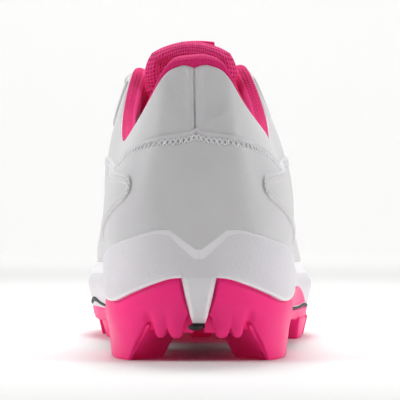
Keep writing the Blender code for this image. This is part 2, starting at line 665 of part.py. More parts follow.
def add_forefoot_rubber(parent):
    """The rubber sheet under the ball and toes, with its studs."""
    first = int(np.argmax(SHAPE(PLACES)[:TOE_INDEX, 1] > FOREFOOT_RUBBER_START))
    outer = PLACES[first:TOE_INDEX]
    inner = PLACES[::-1][first - 1:TOE_INDEX - 1]

    def edge(places, drop):
        plan = side_plan(places, RUBBER_RECESS)
        return np.column_stack([plan, underside(outline(places)[0][:, 1]) - drop])

    top = 2 * STEP_GAP + PLATE_THICK
    sections = np.stack([edge(outer, top), edge(inner, top), edge(inner, top + RUBBER_SHEET),
                         edge(outer, top + RUBBER_SHEET)], axis=1)
    rubber = strip_solid("forefoot_rubber", sections, PINK_RUBBER, parent)
    studs = [side_stud(row, False, top + STUD_SINK, parent) for row in FOREFOOT_OUTER_STUDS.values()]
    studs += [side_stud(row, True, top + STUD_SINK, parent) for row in FOREFOOT_INNER_STUDS.values()]
    for x, y, length, width, turn in FOREFOOT_STUDS.values():
        foot = chevron(x, y, length, width, turn, 1.0)
        tip = chevron(x, y, length, width, turn, STUD_TAPER)
        studs.append(stud(foot, tip, underside(foot[:, 1]) - top - STUD_SINK, toe_lift(y), parent))
    union(rubber, studs)


def add_insole(parent):
    """The footbed liner inside the upper's foot."""
    foot_y = SHAPE(PLACES)[:, 1]
    bed = footbed(foot_y) + FIT_GAP

    def ring(inset, lift):
        foot, outward = outline(PLACES)
        return np.column_stack([foot - outward * inset, bed + lift])

    edge = UPPER_WALL + 0.8
    rings = np.stack([ring(edge, 0.0), ring(edge, INSOLE_THICK - 1.0), ring(edge + 1.2, INSOLE_THICK)])
    ring_solid("insole", rings, PINK_CLOTH, parent)


def add_collar_lining(parent):
    """The padded pink lining inside the collar, rolled over its edge from ear to ear."""
    places = between(PLACE["ear_in"] - 2, PLACE["ear_out"] + 2)
    rows = wall_shares(places)[list(LINING_ROWS)]
    behind = UPPER_WALL + LINING_GAP
    from_end = np.minimum(places - places[0], places[-1] - places)
    pad = LINING_PAD * np.interp(from_end, (0.0, LINING_TAPER), (0.5, 1.0))

    def at(share, depth):
        return upper_offset(places, share, -depth * np.ones(len(places)))

    def above(lift, depth):
        up = upper_point(places, np.ones(len(places))) - upper_point(places, np.full(len(places), 0.97))
        up /= np.linalg.norm(up, axis=-1, keepdims=True)
        return at(np.ones(len(places)), depth) + up * lift

    sections = np.stack([
        *[at(row, behind) for row in rows], above(LINING_ROLL * 0.75, behind - 0.9),
        above(LINING_ROLL, behind + 0.2 * pad), above(LINING_ROLL * 0.7, behind + 0.6 * pad),
        above(-3.0, behind + pad), at(rows[1], behind + pad), at(rows[0], behind + 1.2)], axis=1)
    strip_solid("collar_lining", sections, PINK_CLOTH, parent)


def tongue_sheet():
    """The tongue's upper face: rows across the throat, tucked under its edges, then free above the ears."""
    rows = []
    fractions = np.array([0.25, 0.5, 0.75])
    fan = np.linspace(PLACE["vamp_out"] + TONGUE_TOE, PLACE["vamp_in"] - TONGUE_TOE, 7)
    rows.append(upper_offset(fan, np.full(7, TONGUE_TUCK), np.full(7, -(UPPER_WALL + TONGUE_CLEAR))))
    steps = np.linspace(0.0, 1.0, 7)
    for step in steps:
        out_place = PLACE["vamp_out"] + step * (PLACE["ear_out"] - PLACE["vamp_out"])
        in_place = PLACE["vamp_in"] + step * (PLACE["ear_in"] - PLACE["vamp_in"])
        pad = max(0.0, step - 0.6) / 0.4 * (LINING_PAD + 2.0)
        sink = TONGUE_SINK * max(0.0, 1 - step / 0.35)
        clear = UPPER_WALL + TONGUE_CLEAR + pad + sink
        both = np.array([out_place, in_place])
        hidden = upper_offset(both, np.full(2, TONGUE_TUCK), np.full(2, -clear))
        shown = upper_offset(both, np.full(2, 0.985), np.full(2, -clear))
        across = shown[0] + fractions[:, None] * (shown[1] - shown[0])
        lift = TONGUE_CROWN * (1.3 * step - 0.2)
        across[:, 2] += 4 * fractions * (1 - fractions) * lift
        rows.append(np.vstack([hidden[0], shown[0], across, shown[1], hidden[1]]))
    centre = rows[-1][3]
    spread = np.array([1.0, 0.72, 0.36, 0.0, -0.36, -0.72, -1.0])
    for lift, half_width, drop in TONGUE_FREE_ROWS:
        middle = centre + lift * np.array(TONGUE_LEAN)
        row = np.tile(middle, (7, 1))
        row[:, 0] = TONGUE_CENTRE_X + half_width * spread
        row[:, 2] -= drop * spread**2
        rows.append(row)
    return np.array(rows)


def sheet_normals(sheet):
    """Unit normals of a grid of points, from its slopes along rows and columns."""
    along = np.gradient(sheet, axis=0)
    across = np.gradient(sheet, axis=1)
    normal = np.cross(across, along)
    return normal / np.linalg.norm(normal, axis=-1, keepdims=True)


def add_tongue(parent):
    outer = tongue_sheet()
    normal = sheet_normals(outer)
    normal *= np.sign(normal[len(outer) // 2, 3, 2])
    inner = outer - normal * TONGUE_THICK
    strip_solid("tongue", shell_sections(outer, inner), PINK_CLOTH, parent)
    return outer, normal


def eyelet_places():
    """Where each lace hole sits, as places along both edges of the throat, from the toe upwards."""
    outer = np.linspace(PLACE["vamp_out"] - 3, PLACE["ear_out"] + 9, EYELET_ROWS)
    inner = np.linspace(PLACE["vamp_in"] + 3, PLACE["ear_in"] - 9, EYELET_ROWS)
    return outer, inner


def lace_bar(rows, faces, parent):
    """One flat run of lace through five rows: hole, throat edge, tongue, throat edge, hole."""
    at = np.linspace(-0.04, 1.04, 11)
    knots = np.array([-0.05, 0.22, 0.5, 0.78, 1.05])
    centre = np.column_stack([smooth_table(at, knots, column) for column in np.array(rows).T])
    face = np.column_stack([smooth_table(at, knots, column) for column in np.array(faces).T])
    run = np.gradient(centre, axis=0)
    side = np.cross(run, face)
    side /= np.linalg.norm(side, axis=1, keepdims=True)
    face /= np.linalg.norm(face, axis=1, keepdims=True)
    half_w, half_t = 0.5 * LACE_WIDTH, 0.5 * LACE_THICK
    corners = ((-0.9, 1), (0.9, 1), (1, -1), (-1, -1))
    sections = np.stack([centre + a * half_w * side + b * half_t * face for a, b in corners], axis=1)
    return strip_solid("lace", sections, WHITE_LEATHER, parent)


def add_lace(tongue, normal, parent):
    """The lace: a straight bar at the bottom, then crossings up to the top holes, joined into one."""
    outer, inner = eyelet_places()
    lift = FIT_GAP + OVERLAY_WALL + LACE_LIFT + 0.5 * LACE_THICK
    order = np.argsort(tongue[:, 3, 1])
    crown, crown_face = tongue[order, 3], normal[order, 3]

    def row(place, inset, arch):
        wall = np.linalg.norm(upper_point(place, 1.0) - upper_point(place, 0.7)) / 0.3
        share = 1 - inset / wall
        return upper_offset(place, share, np.array(lift + arch)), upper_normal(place, share)

    runs = [(outer[0], outer[0], inner[0], inner[0], 0.5 * LACE_OVER)]
    for i in range(EYELET_ROWS - 1):
        out_step = LACE_SLANT * (outer[i + 1] - outer[i])
        in_step = LACE_SLANT * (inner[i + 1] - inner[i])
        runs.append((outer[i], outer[i] + out_step, inner[i + 1] - in_step, inner[i + 1], LACE_OVER))
        runs.append((outer[i + 1], outer[i + 1] - out_step, inner[i] + in_step, inner[i], 0.0))
    bars = []
    for out_hole, out_edge, in_edge, in_hole, over in runs:
        ends = [row(out_hole, EYELET_INSET, over), row(out_edge, 0.5, LACE_ARCH + over),
                row(in_edge, 0.5, LACE_ARCH + over), row(in_hole, EYELET_INSET, over)]
        middle = 0.5 * (ends[1][0] + ends[2][0])
        face = np.array([np.interp(middle[1], crown[:, 1], column) for column in crown_face.T])
        crown_z = np.interp(middle[1], crown[:, 1], crown[:, 2])
        middle[2] = max(middle[2], crown_z + (LACE_LIFT + 0.5 * LACE_THICK) / face[2])
        points = [ends[0][0], ends[1][0], middle, ends[2][0], ends[3][0]]
        faces = [ends[0][1], ends[1][1], face, ends[2][1], ends[3][1]]
        bars.append(lace_bar(points, faces, parent))
    union(bars[0], bars[1:])


def add_label(tongue, normal, parent):
    """The folded tab at the top of the tongue's front face."""
    width, thick, height = LABEL_SIZE
    top = tongue[-1, 3]
    down = tongue[-4, 3] - top
    down /= np.linalg.norm(down)
    face = normal[-2, 3]
    start = top - down * 0.8 + face * FIT_GAP
    rows = []
    for run, out in ((0.0, 0.2), (0.0, thick), (height, thick + 1.2), (height, 1.2)):
        rows.append(start + down * run + face * out)
    half = np.array([0.5 * width, 0.0, 0.0])
    sections = np.stack([np.array(rows) - half, np.array(rows) + half])
    strip_solid("tongue_label", sections, PINK_CLOTH, parent)


def add_side_panel(name, inner_side, parent):
    """A stitched saddle panel: a blunt tip over the heel counter, broad down to the sole further forward."""
    distance, top, low = np.array(PANEL_ROWS).T
    at = heel_distance(PLACES)
    inside = (at >= distance[0]) & (at <= distance[-1]) & ((PLACES > ROUND / 2) == inner_side)
    places = PLACES[inside]
    at = heel_distance(places)
    above_rim = rim_height(places) + PANEL_RIM_GAP
    bottom = share_at_height(places, np.maximum(np.interp(at, distance, low), above_rim))
    high = share_at_height(places, np.interp(at, distance, top))
    shares = bottom[:, None] + np.linspace(0, 1, 5) * (high - bottom)[:, None]
    over_counter = 2 * FIT_GAP + OVERLAY_WALL
    lift = np.interp(at, (COUNTER_END + 1.0, COUNTER_END + 9.0), (over_counter, FIT_GAP))
    overlay(name, places, shares, lift[:, None], WHITE_LEATHER, parent)


def shoe_origin():
    """The shoe's parent: it puts the middle of the sole's box over the origin."""
    foot, outward = outline(PLACES)
    reach = foot + outward * SOLE_FLARE
    origin = bpy.data.objects.new("shoe", None)
    bpy.context.scene.collection.objects.link(origin)
    origin.location = (-0.5 * (reach[:, 0].min() + reach[:, 0].max()) * MM,
                       -0.5 * (reach[:, 1].min() + reach[:, 1].max()) * MM, 0.0)
    return origin


def main():
    for old in list(bpy.data.objects):
        bpy.data.objects.remove(old)
    shoe = shoe_origin()
    add_upper(shoe)
    add_heel_counter(shoe)
    add_eyestay(shoe)
    add_side_panel("side_panel_outer", False, shoe)
    add_side_panel("side_panel_inner", True, shoe)
    add_collar_lining(shoe)
    add_midsole(shoe)
    add_plate(shoe)
    add_heel_rubber("heel_rubber_outer", False, shoe)
    add_heel_rubber("heel_rubber_inner", True, shoe)
    add_forefoot_rubber(shoe)
    add_insole(shoe)
    tongue, normal = add_tongue(shoe)
    add_label(tongue, normal, shoe)
    add_lace(tongue, normal, shoe)


main()
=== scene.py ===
"""Looks of a right-foot softball cleat: white leather upper, pink lining, white heel clip, pink rubber.

The shoe stands on Z = 0 with its toe along +Y and its outer side at +X. Sizes are in millimetres from
the back of the heel, and each mesh is moved into the frame's metres when it is made.
"""

import bmesh
import bpy
import numpy as np
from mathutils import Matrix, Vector


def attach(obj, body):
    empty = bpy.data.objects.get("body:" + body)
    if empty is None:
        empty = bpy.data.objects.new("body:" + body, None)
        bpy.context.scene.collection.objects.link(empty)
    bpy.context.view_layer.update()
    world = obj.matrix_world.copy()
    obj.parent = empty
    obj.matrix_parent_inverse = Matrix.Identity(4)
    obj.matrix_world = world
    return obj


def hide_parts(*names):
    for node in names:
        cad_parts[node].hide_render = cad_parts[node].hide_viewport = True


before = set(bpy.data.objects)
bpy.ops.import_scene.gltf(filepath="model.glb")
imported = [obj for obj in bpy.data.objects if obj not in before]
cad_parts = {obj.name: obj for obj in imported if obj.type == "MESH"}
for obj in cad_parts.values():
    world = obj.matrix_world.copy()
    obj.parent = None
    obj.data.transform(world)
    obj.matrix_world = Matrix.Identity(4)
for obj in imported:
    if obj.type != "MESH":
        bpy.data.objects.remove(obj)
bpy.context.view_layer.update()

# Camera and studio
# The photograph was taken level, straight from behind, from about 75 cm. The shoe stands in a pale
# round cove, a floor that curves up into the background on every side.
MM = 0.001
PHOTO_FOCAL = 997.5
PHOTO_AXIS = (258.5, 239.0)
VIEW_CENTRE = (259.0, 230.0)
VIEW_SIDE = 190.0
CAMERA_BEHIND = 750.0
CAMERA_HEIGHT = 51.5
SENSOR = 36.0
COVE_RADIUS = 2000.0
COVE_BEND = 600.0
COVE_TOP = 1500.0
WORLD_GLOW = 0.06
MERGE_WITHIN = 2e-6
FLAT_WITHIN = 1e-7
HEEL_TO_ORIGIN = np.array([-0.119, -137.99, 0.0])


def add_node(tree, kind, values=None, **settings):
    """One shader node with its own settings. Each named or numbered socket is set to its value, or linked
    where the value is another node's output."""
    made = tree.nodes.new(kind)
    for name, value in settings.items():
        setattr(made, name, value)
    for socket, value in (values or {}).items():
        if isinstance(value, bpy.types.NodeSocket):
            tree.links.new(value, made.inputs[socket])
        else:
            made.inputs[socket].default_value = value
    return made


def new_finish(name, colour, roughness, **sockets):
    """A Principled material. Sockets are given by name, with _ for a space."""
    made = bpy.data.materials.new(name)
    made.use_nodes = True
    shader = made.node_tree.nodes["Principled BSDF"]
    shader.inputs["Base Color"].default_value = (*colour, 1.0)
    shader.inputs["Roughness"].default_value = roughness
    for socket, value in sockets.items():
        shader.inputs[socket.replace("_", " ")].default_value = value
    made.diffuse_color = (*colour, 1.0)
    return made, made.node_tree, shader


def noise(tree, scale, detail, **more):
    """Fractal noise over the shoe's own coordinates, as a factor socket."""
    spot = add_node(tree, "ShaderNodeTexCoord").outputs["Object"]
    values = {"Vector": spot, "Scale": scale, "Detail": detail, **more}
    return add_node(tree, "ShaderNodeTexNoise", values).outputs["Fac"]


def add_bump(tree, shader, height, depth, strength=1.0):
    """A bump of depth millimetres from a height socket, laid over any bump that is already there."""
    bump = add_node(tree, "ShaderNodeBump", {"Height": height, "Strength": strength, "Distance": depth * MM})
    normal = shader.inputs["Normal"]
    if normal.is_linked:
        tree.links.new(normal.links[0].from_socket, bump.inputs["Normal"])
    tree.links.new(bump.outputs["Normal"], normal)


def grid_quads(rows, columns, wrap_rows, wrap_columns):
    """Corner indices of a grid's quads, in rows, joined at the ends where it wraps."""
    i, j = np.meshgrid(np.arange(rows if wrap_rows else rows - 1),
                       np.arange(columns if wrap_columns else columns - 1), indexing="ij")
    corners = ((i, j), (i, j + 1), (i + 1, j + 1), (i + 1, j))
    index = [(a % rows) * columns + b % columns for a, b in corners]
    return np.stack(index, axis=-1).reshape(-1, 4)


def corner_values(values):
    """A grid of values, one wider where its piece wraps, at each quad's corners."""
    rows, columns, width = values.shape
    return values.reshape(-1, width)[grid_quads(rows, columns, False, False)].reshape(-1, width)


def make_piece(name, grids, finish, slot_name=None, replaced=None, uvs=(), ring=False):
    """One closed object from grids of points in millimetres. Each grid's columns wrap round, and with ring
    its rows do too. Doubled points at poles and seams are merged and the faces turned outwards."""
    points, quads, count = [], [], 0
    for grid in grids:
        rows, columns = grid.shape[:2]
        quads.append(grid_quads(rows, columns, ring, True) + count)
        points.append(grid.reshape(-1, 3))
        count += rows * columns
    points = (np.concatenate(points) + HEEL_TO_ORIGIN) * MM
    quads = np.concatenate(quads)
    mesh = bpy.data.meshes.new(name)
    mesh.vertices.add(len(points))
    mesh.vertices.foreach_set("co", points.astype(np.float32).ravel())
    mesh.loops.add(quads.size)
    mesh.loops.foreach_set("vertex_index", quads.astype(np.int32).ravel())
    mesh.polygons.add(len(quads))
    mesh.polygons.foreach_set("loop_start", np.arange(0, quads.size, 4, dtype=np.int32))
    mesh.update(calc_edges=True)
    if uvs:
        corners = np.concatenate([corner_values(uv) for uv in uvs])
        mesh.uv_layers.new(name="UVMap").uv.foreach_set("vector", corners.astype(np.float32).ravel())
    bm = bmesh.new()
    bm.from_mesh(mesh)
    bmesh.ops.remove_doubles(bm, verts=bm.verts, dist=MERGE_WITHIN)
    bmesh.ops.dissolve_degenerate(bm, edges=bm.edges, dist=FLAT_WITHIN)
    bmesh.ops.recalc_face_normals(bm, faces=bm.faces)
    bm.to_mesh(mesh)
    bm.free()
    mesh.shade_smooth()
    mesh.materials.append(finish)
    made = bpy.data.objects.new(name, mesh)
    bpy.context.scene.collection.objects.link(made)
    if slot_name:
        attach(made, "root")
    if replaced:
        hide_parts(replaced)
    return made


def cove_points():
    """A profile turned about the shoe: a flat floor, a quarter circle and an upright wall."""
    bend = np.linspace(0, 0.5 * np.pi, 20)
    reach = np.concatenate([np.linspace(0.0, COVE_RADIUS, 14), COVE_RADIUS + COVE_BEND * np.sin(bend)[1:],
                            [COVE_RADIUS + COVE_BEND]])
    up = np.concatenate([np.zeros(14), COVE_BEND * (1 - np.cos(bend))[1:], [COVE_TOP]])
    turn = np.linspace(0, 2 * np.pi, 96, endpoint=False)
    level = np.broadcast_to(up[:, None], (len(up), len(turn)))
    points = np.stack([reach[:, None] * np.cos(turn), reach[:, None] * np.sin(turn), level], axis=-1)
    return points[:, ::-1] - HEEL_TO_ORIGIN


cove_finish, tree, shader = new_finish("studio_cove", (0.90, 0.90, 0.895), 0.65)
add_bump(tree, shader, noise(tree, 350.0, 3.0), 0.05, 0.3)
make_piece("studio_cove", [cove_points()], cove_finish)


def add_softbox(name, place, aim, size, power, spread=180.0):
    """A rectangular area light at a place, in metres, turned towards its aim, with a spread in degrees."""
    lamp = bpy.data.lights.new(name, "AREA")
    lamp.shape = "RECTANGLE"
    lamp.size, lamp.size_y = size
    lamp.energy = power
    lamp.spread = np.radians(spread)
    made = bpy.data.objects.new(name, lamp)
    bpy.context.scene.collection.objects.link(made)
    made.location = place
    made.rotation_euler = (Vector(aim) - Vector(place)).to_track_quat("-Z", "Y").to_euler()


add_softbox("top_box", (0.0, 0.42, 1.10), (0.0, 0.16, 0.0), (0.5, 0.35), 2.5, 90.0)
for name, x in (("left_box", -0.90), ("right_box", 0.90)):
    add_softbox(name, (x, -0.32, 0.62), (0.0, -0.1, 0.05), (0.5, 0.5), 1.15, 80.0)
add_softbox("cove_box", (0.0, 1.0, 1.9), (0.0, 2.4, 0.6), (2.6, 0.8), 44.0)

world = bpy.data.worlds.new("studio")
world.use_nodes = True
background = world.node_tree.nodes["Background"]
background.inputs["Color"].default_value = (1.0, 1.0, 1.0, 1.0)
background.inputs["Strength"].default_value = WORLD_GLOW
bpy.context.scene.world = world
bpy.context.scene.view_settings.view_transform = "Standard"

lens = bpy.data.cameras.new("camera")
lens.sensor_width = SENSOR
lens.lens = SENSOR * PHOTO_FOCAL / VIEW_SIDE
lens.shift_x = (VIEW_CENTRE[0] - PHOTO_AXIS[0]) / VIEW_SIDE
lens.shift_y = (PHOTO_AXIS[1] - VIEW_CENTRE[1]) / VIEW_SIDE
camera = bpy.data.objects.new("camera", lens)
camera.location = (np.array([0.0, -CAMERA_BEHIND, CAMERA_HEIGHT]) + HEEL_TO_ORIGIN) * MM
camera.rotation_euler = (0.5 * np.pi, 0.0, 0.0)
bpy.context.scene.collection.objects.link(camera)
bpy.context.scene.camera = camera

# Upper
# A shell of coated white leather, 2.2 mm thick, pulled over the last and cemented into the cup. Its two
# quarters are sewn edge to edge down the back of the heel, which leaves a puckered groove.
UPPER_WALL = 2.2
FIT_GAP = 0.35
# Each station: the foot's x and y, the edge's x, y and z, and how far out and up the curve's two handles
# stand from them
STATIONS = {
    "heel_back": (0.0, 5.0, -1.4, 5.5, 106.2, 8.0, 26.0, -7.0, -24.0),
    "heel_tab_out": (9.5, 6.6, 7.4, 6.6, 105.2, 8.0, 26.0, -6.0, -24.0),
    "heel_corner_out": (21.0, 13.0, 14.4, 12.0, 96.8, 9.0, 25.0, 0.5, -22.0),
    "heel_side_out": (30.2, 38.0, 24.6, 36.0, 84.2, 7.8, 22.0, 7.0, -18.0),
    "ankle_out": (31.2, 66.0, 27.6, 60.0, 82.0, 7.4, 18.0, 8.0, -17.0),
    "collar_front_out": (32.5, 86.0, 26.5, 80.0, 93.5, 7.5, 20.0, 12.5, -20.0),
    "ear_out": (34.0, 106.0, 20.8, 97.0, 110.2, 10.5, 25.0, 10.5, -23.0),
    "instep_out": (38.0, 140.0, 16.5, 128.0, 100.5, 5.5, 19.0, 18.5, -12.0),
    "ball_out": (44.3, 176.0, 11.5, 162.0, 84.5, 5.5, 17.0, 19.0, -8.0),
    "vamp_out": (40.8, 218.0, 4.5, 186.0, 74.0, 4.0, 18.0, 22.0, -5.0),
    "toe_out": (25.0, 252.0, 0.0, 193.0, 71.3, 3.0, 19.0, 30.0, -4.0),
    "toe_tip": (-7.0, 271.0, -6.0, 195.5, 70.5, 3.0, 21.0, 38.0, -3.0),
    "toe_in": (-32.0, 253.0, -12.0, 193.0, 71.3, 3.0, 20.0, 32.0, -4.0),
    "vamp_in": (-42.4, 222.0, -16.5, 186.0, 74.0, 4.0, 19.0, 20.0, -5.0),
    "ball_in": (-43.8, 184.0, -22.0, 162.0, 84.5, 5.0, 20.0, 16.0, -6.0),
    "instep_in": (-36.0, 146.0, -25.5, 128.0, 100.0, 5.5, 25.0, 13.0, -13.0),
    "ear_in": (-30.5, 108.0, -27.8, 97.0, 108.8, 13.0, 27.0, 9.5, -23.0),
    "collar_front_in": (-29.5, 87.0, -30.5, 80.0, 93.0, 9.0, 24.0, 9.5, -20.0),
    "ankle_in": (-29.8, 66.0, -30.0, 60.0, 82.0, 8.4, 20.0, 6.5, -17.0),
    "heel_side_in": (-30.2, 38.0, -25.5, 36.0, 84.2, 8.4, 22.0, 7.0, -18.0),
    "heel_corner_in": (-21.0, 13.0, -16.9, 12.2, 96.8, 9.0, 25.0, 0.5, -22.0),
    "heel_tab_in": (-9.5, 6.6, -10.0, 6.6, 105.0, 8.0, 26.0, -6.0, -24.0),
}
SOLE_ALONG = (0.0, 62.0, 105.0, 150.0, 200.0, 242.0, 278.0)
SOLE_UNDERSIDE = (14.2, 14.0, 17.0, 12.2, 12.0, 15.4, 24.0)
SOLE_FOOTBED = (25.5, 25.5, 23.6, 21.0, 20.5, 24.0, 32.5)
UPPER_ROWS = 84
UPPER_INNER_ROWS = 26
SEAM_HALF_WIDTH = 0.5
SEAM_DEPTH = 0.85
SEAM_OFF_CENTRE = 0.3
SEAM_LOW = 80.0
# Beside the seam, each a bell: rise, distance from the seam and width
SEAM_PUCKER = (0.3, 1.9, 1.3)
TAB_SHOULDER = (0.55, 4.2, 2.6)
TAB_DIP = (1.5, 0.0, 2.0)
EDGE_CROWN = 0.45
# Soft creases, each a line from one spot to another: distance round the foot from the back of the heel,
# negative on the inner side, and height above the floor, then half width and rise or fall
CREASES = (
    (2.5, 85.0, 15.0, 91.0, 1.9, 0.32), (3.0, 88.5, 13.0, 94.5, 2.4, -0.22),
    (-3.0, 86.5, -14.0, 89.5, 2.2, 0.22), (-4.0, 92.0, -11.0, 99.0, 2.6, -0.18),
    (44.0, 76.0, 74.0, 66.0, 4.0, -0.40), (52.0, 70.0, 80.0, 58.0, 4.5, 0.25),
    (-42.0, 76.0, -72.0, 66.0, 4.0, -0.40), (-52.0, 70.0, -80.0, 57.0, 4.5, 0.25),
    (190.0, 40.0, 214.0, 68.0, 3.4, -0.65), (203.0, 36.0, 226.0, 64.0, 3.2, -0.55),
    (197.0, 38.0, 220.0, 66.0, 3.0, 0.35), (-196.0, 40.0, -218.0, 68.0, 3.4, -0.65),
    (-209.0, 36.0, -231.0, 64.0, 3.2, -0.55), (-203.0, 38.0, -224.0, 66.0, 3.0, 0.35),
)
VENT_PITCH = 6.4
VENT_RADIUS = 0.75
VENT_HOLE_SHADE = (0.03, 0.03, 0.032)
# Where the vents fade in and out along the foot, upwards, and to each side of their middle
VENTS_FROM = (208, 211)
VENTS_TO = (246, 249)
VENTS_ABOVE = (48, 50)
VENTS_WITHIN = (21, 23)
VENTS_MIDDLE_X = -6


def smooth_table(at, places, values):
    """A smooth curve through a table: cubic pieces whose slope at each row comes from its neighbours."""
    places = np.asarray(places, float)
    values = np.asarray(values, float)
    slopes = np.gradient(values, places)
    at = np.clip(np.asarray(at, float), places[0], places[-1])
    i = np.clip(np.searchsorted(places, at, side="right") - 1, 0, len(places) - 2)
    step = places[i + 1] - places[i]
    u = (at - places[i]) / step
    rise = values[i + 1] - values[i]
    bend = (1 - u) * (slopes[i] * step - rise) + u * (rise - slopes[i + 1] * step)
    return values[i] + u * rise + u * (1 - u) * bend


def ease(at, start, end):
    """A soft step: 0 up to start, 1 from end on, with level ends between."""
    u = np.clip((np.asarray(at, float) - start) / (end - start), 0, 1)
    return u * u * (3 - 2 * u)


def bell(at, middle, width):
    """A bell curve of height 1: one over e to the square of the distance from its middle, in widths."""
    return np.exp(-((at - middle) / width)**2)


class ClosedSpline:
    """The closed curve with even curvature through rows, each a tuple of columns, by chord length."""

    def __init__(self, rows):
        chords = np.linalg.norm(np.roll(rows[:, :2], -1, axis=0) - rows[:, :2], axis=1)
        before = np.roll(chords, 1)
        self.rows = np.vstack([rows, rows[:1]])
        self.knots = np.concatenate([[0.0], np.cumsum(chords)])
        self.length = self.knots[-1]
        slope = (self.rows[1:] - self.rows[:-1]) / chords[:, None]
        turn = np.eye(len(rows))
        matrix = (np.diag(2 * (before + chords)) + before[:, None] * np.roll(turn, -1, axis=1)
                  + chords[:, None] * np.roll(turn, 1, axis=1))
        bends = np.linalg.solve(matrix, 6 * (slope - np.roll(slope, 1, axis=0)))
        self.bends = np.vstack([bends, bends[:1]])

    def __call__(self, at):
        """Columns at distances along the curve: a blend of two rows, plus the cubic bow of their bends."""
        at = np.mod(np.asarray(at, float), self.length)
        i = np.clip(np.searchsorted(self.knots, at, side="right") - 1, 0, len(self.knots) - 2)
        step = (self.knots[i + 1] - self.knots[i])[..., None]
        b = (at[..., None] - self.knots[i][..., None]) / step
        a = 1 - b
        bow = (a**3 - a) * self.bends[i] + (b**3 - b) * self.bends[i + 1]
        return a * self.rows[i] + b * self.rows[i + 1] + bow * step**2 / 6


SHAPE = ClosedSpline(np.array(list(STATIONS.values())))
PLACE = dict(zip(STATIONS, SHAPE.knots))
ROUND = SHAPE.length


def underside(y):
    """The sole's underside above the floor, from its table along the foot."""
    return smooth_table(y, SOLE_ALONG, SOLE_UNDERSIDE)


def footbed(y):
    """The cup's inside floor above the floor, from its table along the foot."""
    return smooth_table(y, SOLE_ALONG, SOLE_FOOTBED)


def signed_round(place):
    """Distance round the foot from the back of the heel, negative on the inner side."""
    place = np.mod(np.asarray(place, float), ROUND)
    return np.where(place > 0.5 * ROUND, place - ROUND, place)


def unit(vectors):
    """Vectors divided by their lengths."""
    return vectors / np.linalg.norm(vectors, axis=-1, keepdims=True)


def outline(place):
    """Foot points and outward directions of the upper's lower edge, in plan."""
    tangent = unit(SHAPE(np.asarray(place) + 0.05)[..., :2] - SHAPE(np.asarray(place) - 0.05)[..., :2])
    return SHAPE(place)[..., :2], np.stack([tangent[..., 1], -tangent[..., 0]], axis=-1)


def last_point(place, share):
    """The upper's smooth face: one cubic curve at each place, from the footbed (0) to the edge (1)."""
    place, share = np.broadcast_arrays(np.asarray(place, float), np.asarray(share, float))
    row = SHAPE(place)
    _, outward = outline(place)
    foot = np.stack([row[..., 0], row[..., 1], footbed(row[..., 1]) + FIT_GAP], axis=-1)
    edge = row[..., 2:5]
    low = foot + np.concatenate([outward * row[..., 5:6], row[..., 6:7]], axis=-1)
    high = edge + np.concatenate([outward * row[..., 7:8], row[..., 8:9]], axis=-1)
    u = share[..., None]
    v = 1 - u
    return v**3 * foot + 3 * v * v * u * low + 3 * v * u * u * high + u**3 * edge


def last_normal(place, share):
    """Unit normals of the smooth face, from its slopes round and up the wall."""
    place, share = np.broadcast_arrays(np.asarray(place, float), np.asarray(share, float))
    round_slope = last_point(place + 0.2, share) - last_point(place - 0.2, share)
    above, below = np.clip(share + 0.004, 0, 1), np.clip(share - 0.004, 0, 1)
    return unit(np.cross(round_slope, last_point(place, above) - last_point(place, below)))


def crease_relief(place, height):
    """The creases added up: each is a bell across its line, and fades past its two ends."""
    at = np.stack([signed_round(place), height], axis=-1)
    total = np.zeros(height.shape)
    for from_round, from_height, to_round, to_height, width, rise in CREASES:
        start = np.array([from_round, from_height])
        run = np.array([to_round, to_height]) - start
        along = np.clip((at - start) @ run / (run @ run), 0, 1)
        distance = np.linalg.norm(at - start - along[..., None] * run, axis=-1)
        total += rise * bell(distance, 0, width) * np.sin(np.pi * (0.15 + 0.7 * along))
    return total


def upper_at(place, share, out=0.0, seam=False):
    """A point out millimetres from the creased face of the upper. With seam, the two quarters' groove and
    the dip in the tab where they meet are cut in as well."""
    place, share = np.broadcast_arrays(np.asarray(place, float), np.asarray(share, float))
    base = last_point(place, share)
    height = base[..., 2]
    lift = crease_relief(place, height) * (1 - ease(share, 0.93, 1.0)) + out
    dip = np.zeros(height.shape)
    if seam:
        beside = np.abs(signed_round(place) + SEAM_OFF_CENTRE)
        open_part = ease(height, SEAM_LOW, SEAM_LOW + 3.0)
        groove = -SEAM_DEPTH * bell(beside, 0, SEAM_HALF_WIDTH)
        pucker = SEAM_PUCKER[0] * bell(beside, *SEAM_PUCKER[1:]) * (1 + 0.35 * np.sin(height * 1.1))
        lift = lift + open_part * (groove + pucker)
        shoulder = TAB_SHOULDER[0] * bell(beside, *TAB_SHOULDER[1:])
        dip = ease(share, 0.90, 1.0) * (shoulder - TAB_DIP[0] * bell(beside, *TAB_DIP[1:]))
    point = base + last_normal(place, share) * lift[..., None]
    point[..., 2] += dip
    return point


def share_at(place, height):
    """How far up the wall the upper reaches a height, found by halving the wall."""
    place, height = np.broadcast_arrays(np.asarray(place, float), np.asarray(height, float))
    low, high = np.zeros(place.shape), np.ones(place.shape)
    for _ in range(18):
        middle = 0.5 * (low + high)
        below = last_point(place, middle)[..., 2] < height
        low, high = np.where(below, middle, low), np.where(below, high, middle)
    return 0.5 * (low + high)


def stops(*spans):
    """Places in even steps along joined spans. Spans are start, then (end, step) pairs."""
    at = spans[0]
    made = [np.array([at])]
    for end, step in spans[1:]:
        made.append(np.linspace(at, end, max(2, int(np.ceil(abs(end - at) / step)) + 1))[1:])
        at = end
    return np.concatenate(made)


def ramp(tree, factor, ends):
    """A colour ramp over a factor socket. Its ends are two (place, colour)."""
    made = add_node(tree, "ShaderNodeValToRGB", {"Fac": factor})
    for element, (place, colour) in zip(made.color_ramp.elements, ends):
        element.position = place
        element.color = (*colour, 1.0)
    return made.outputs["Color"]


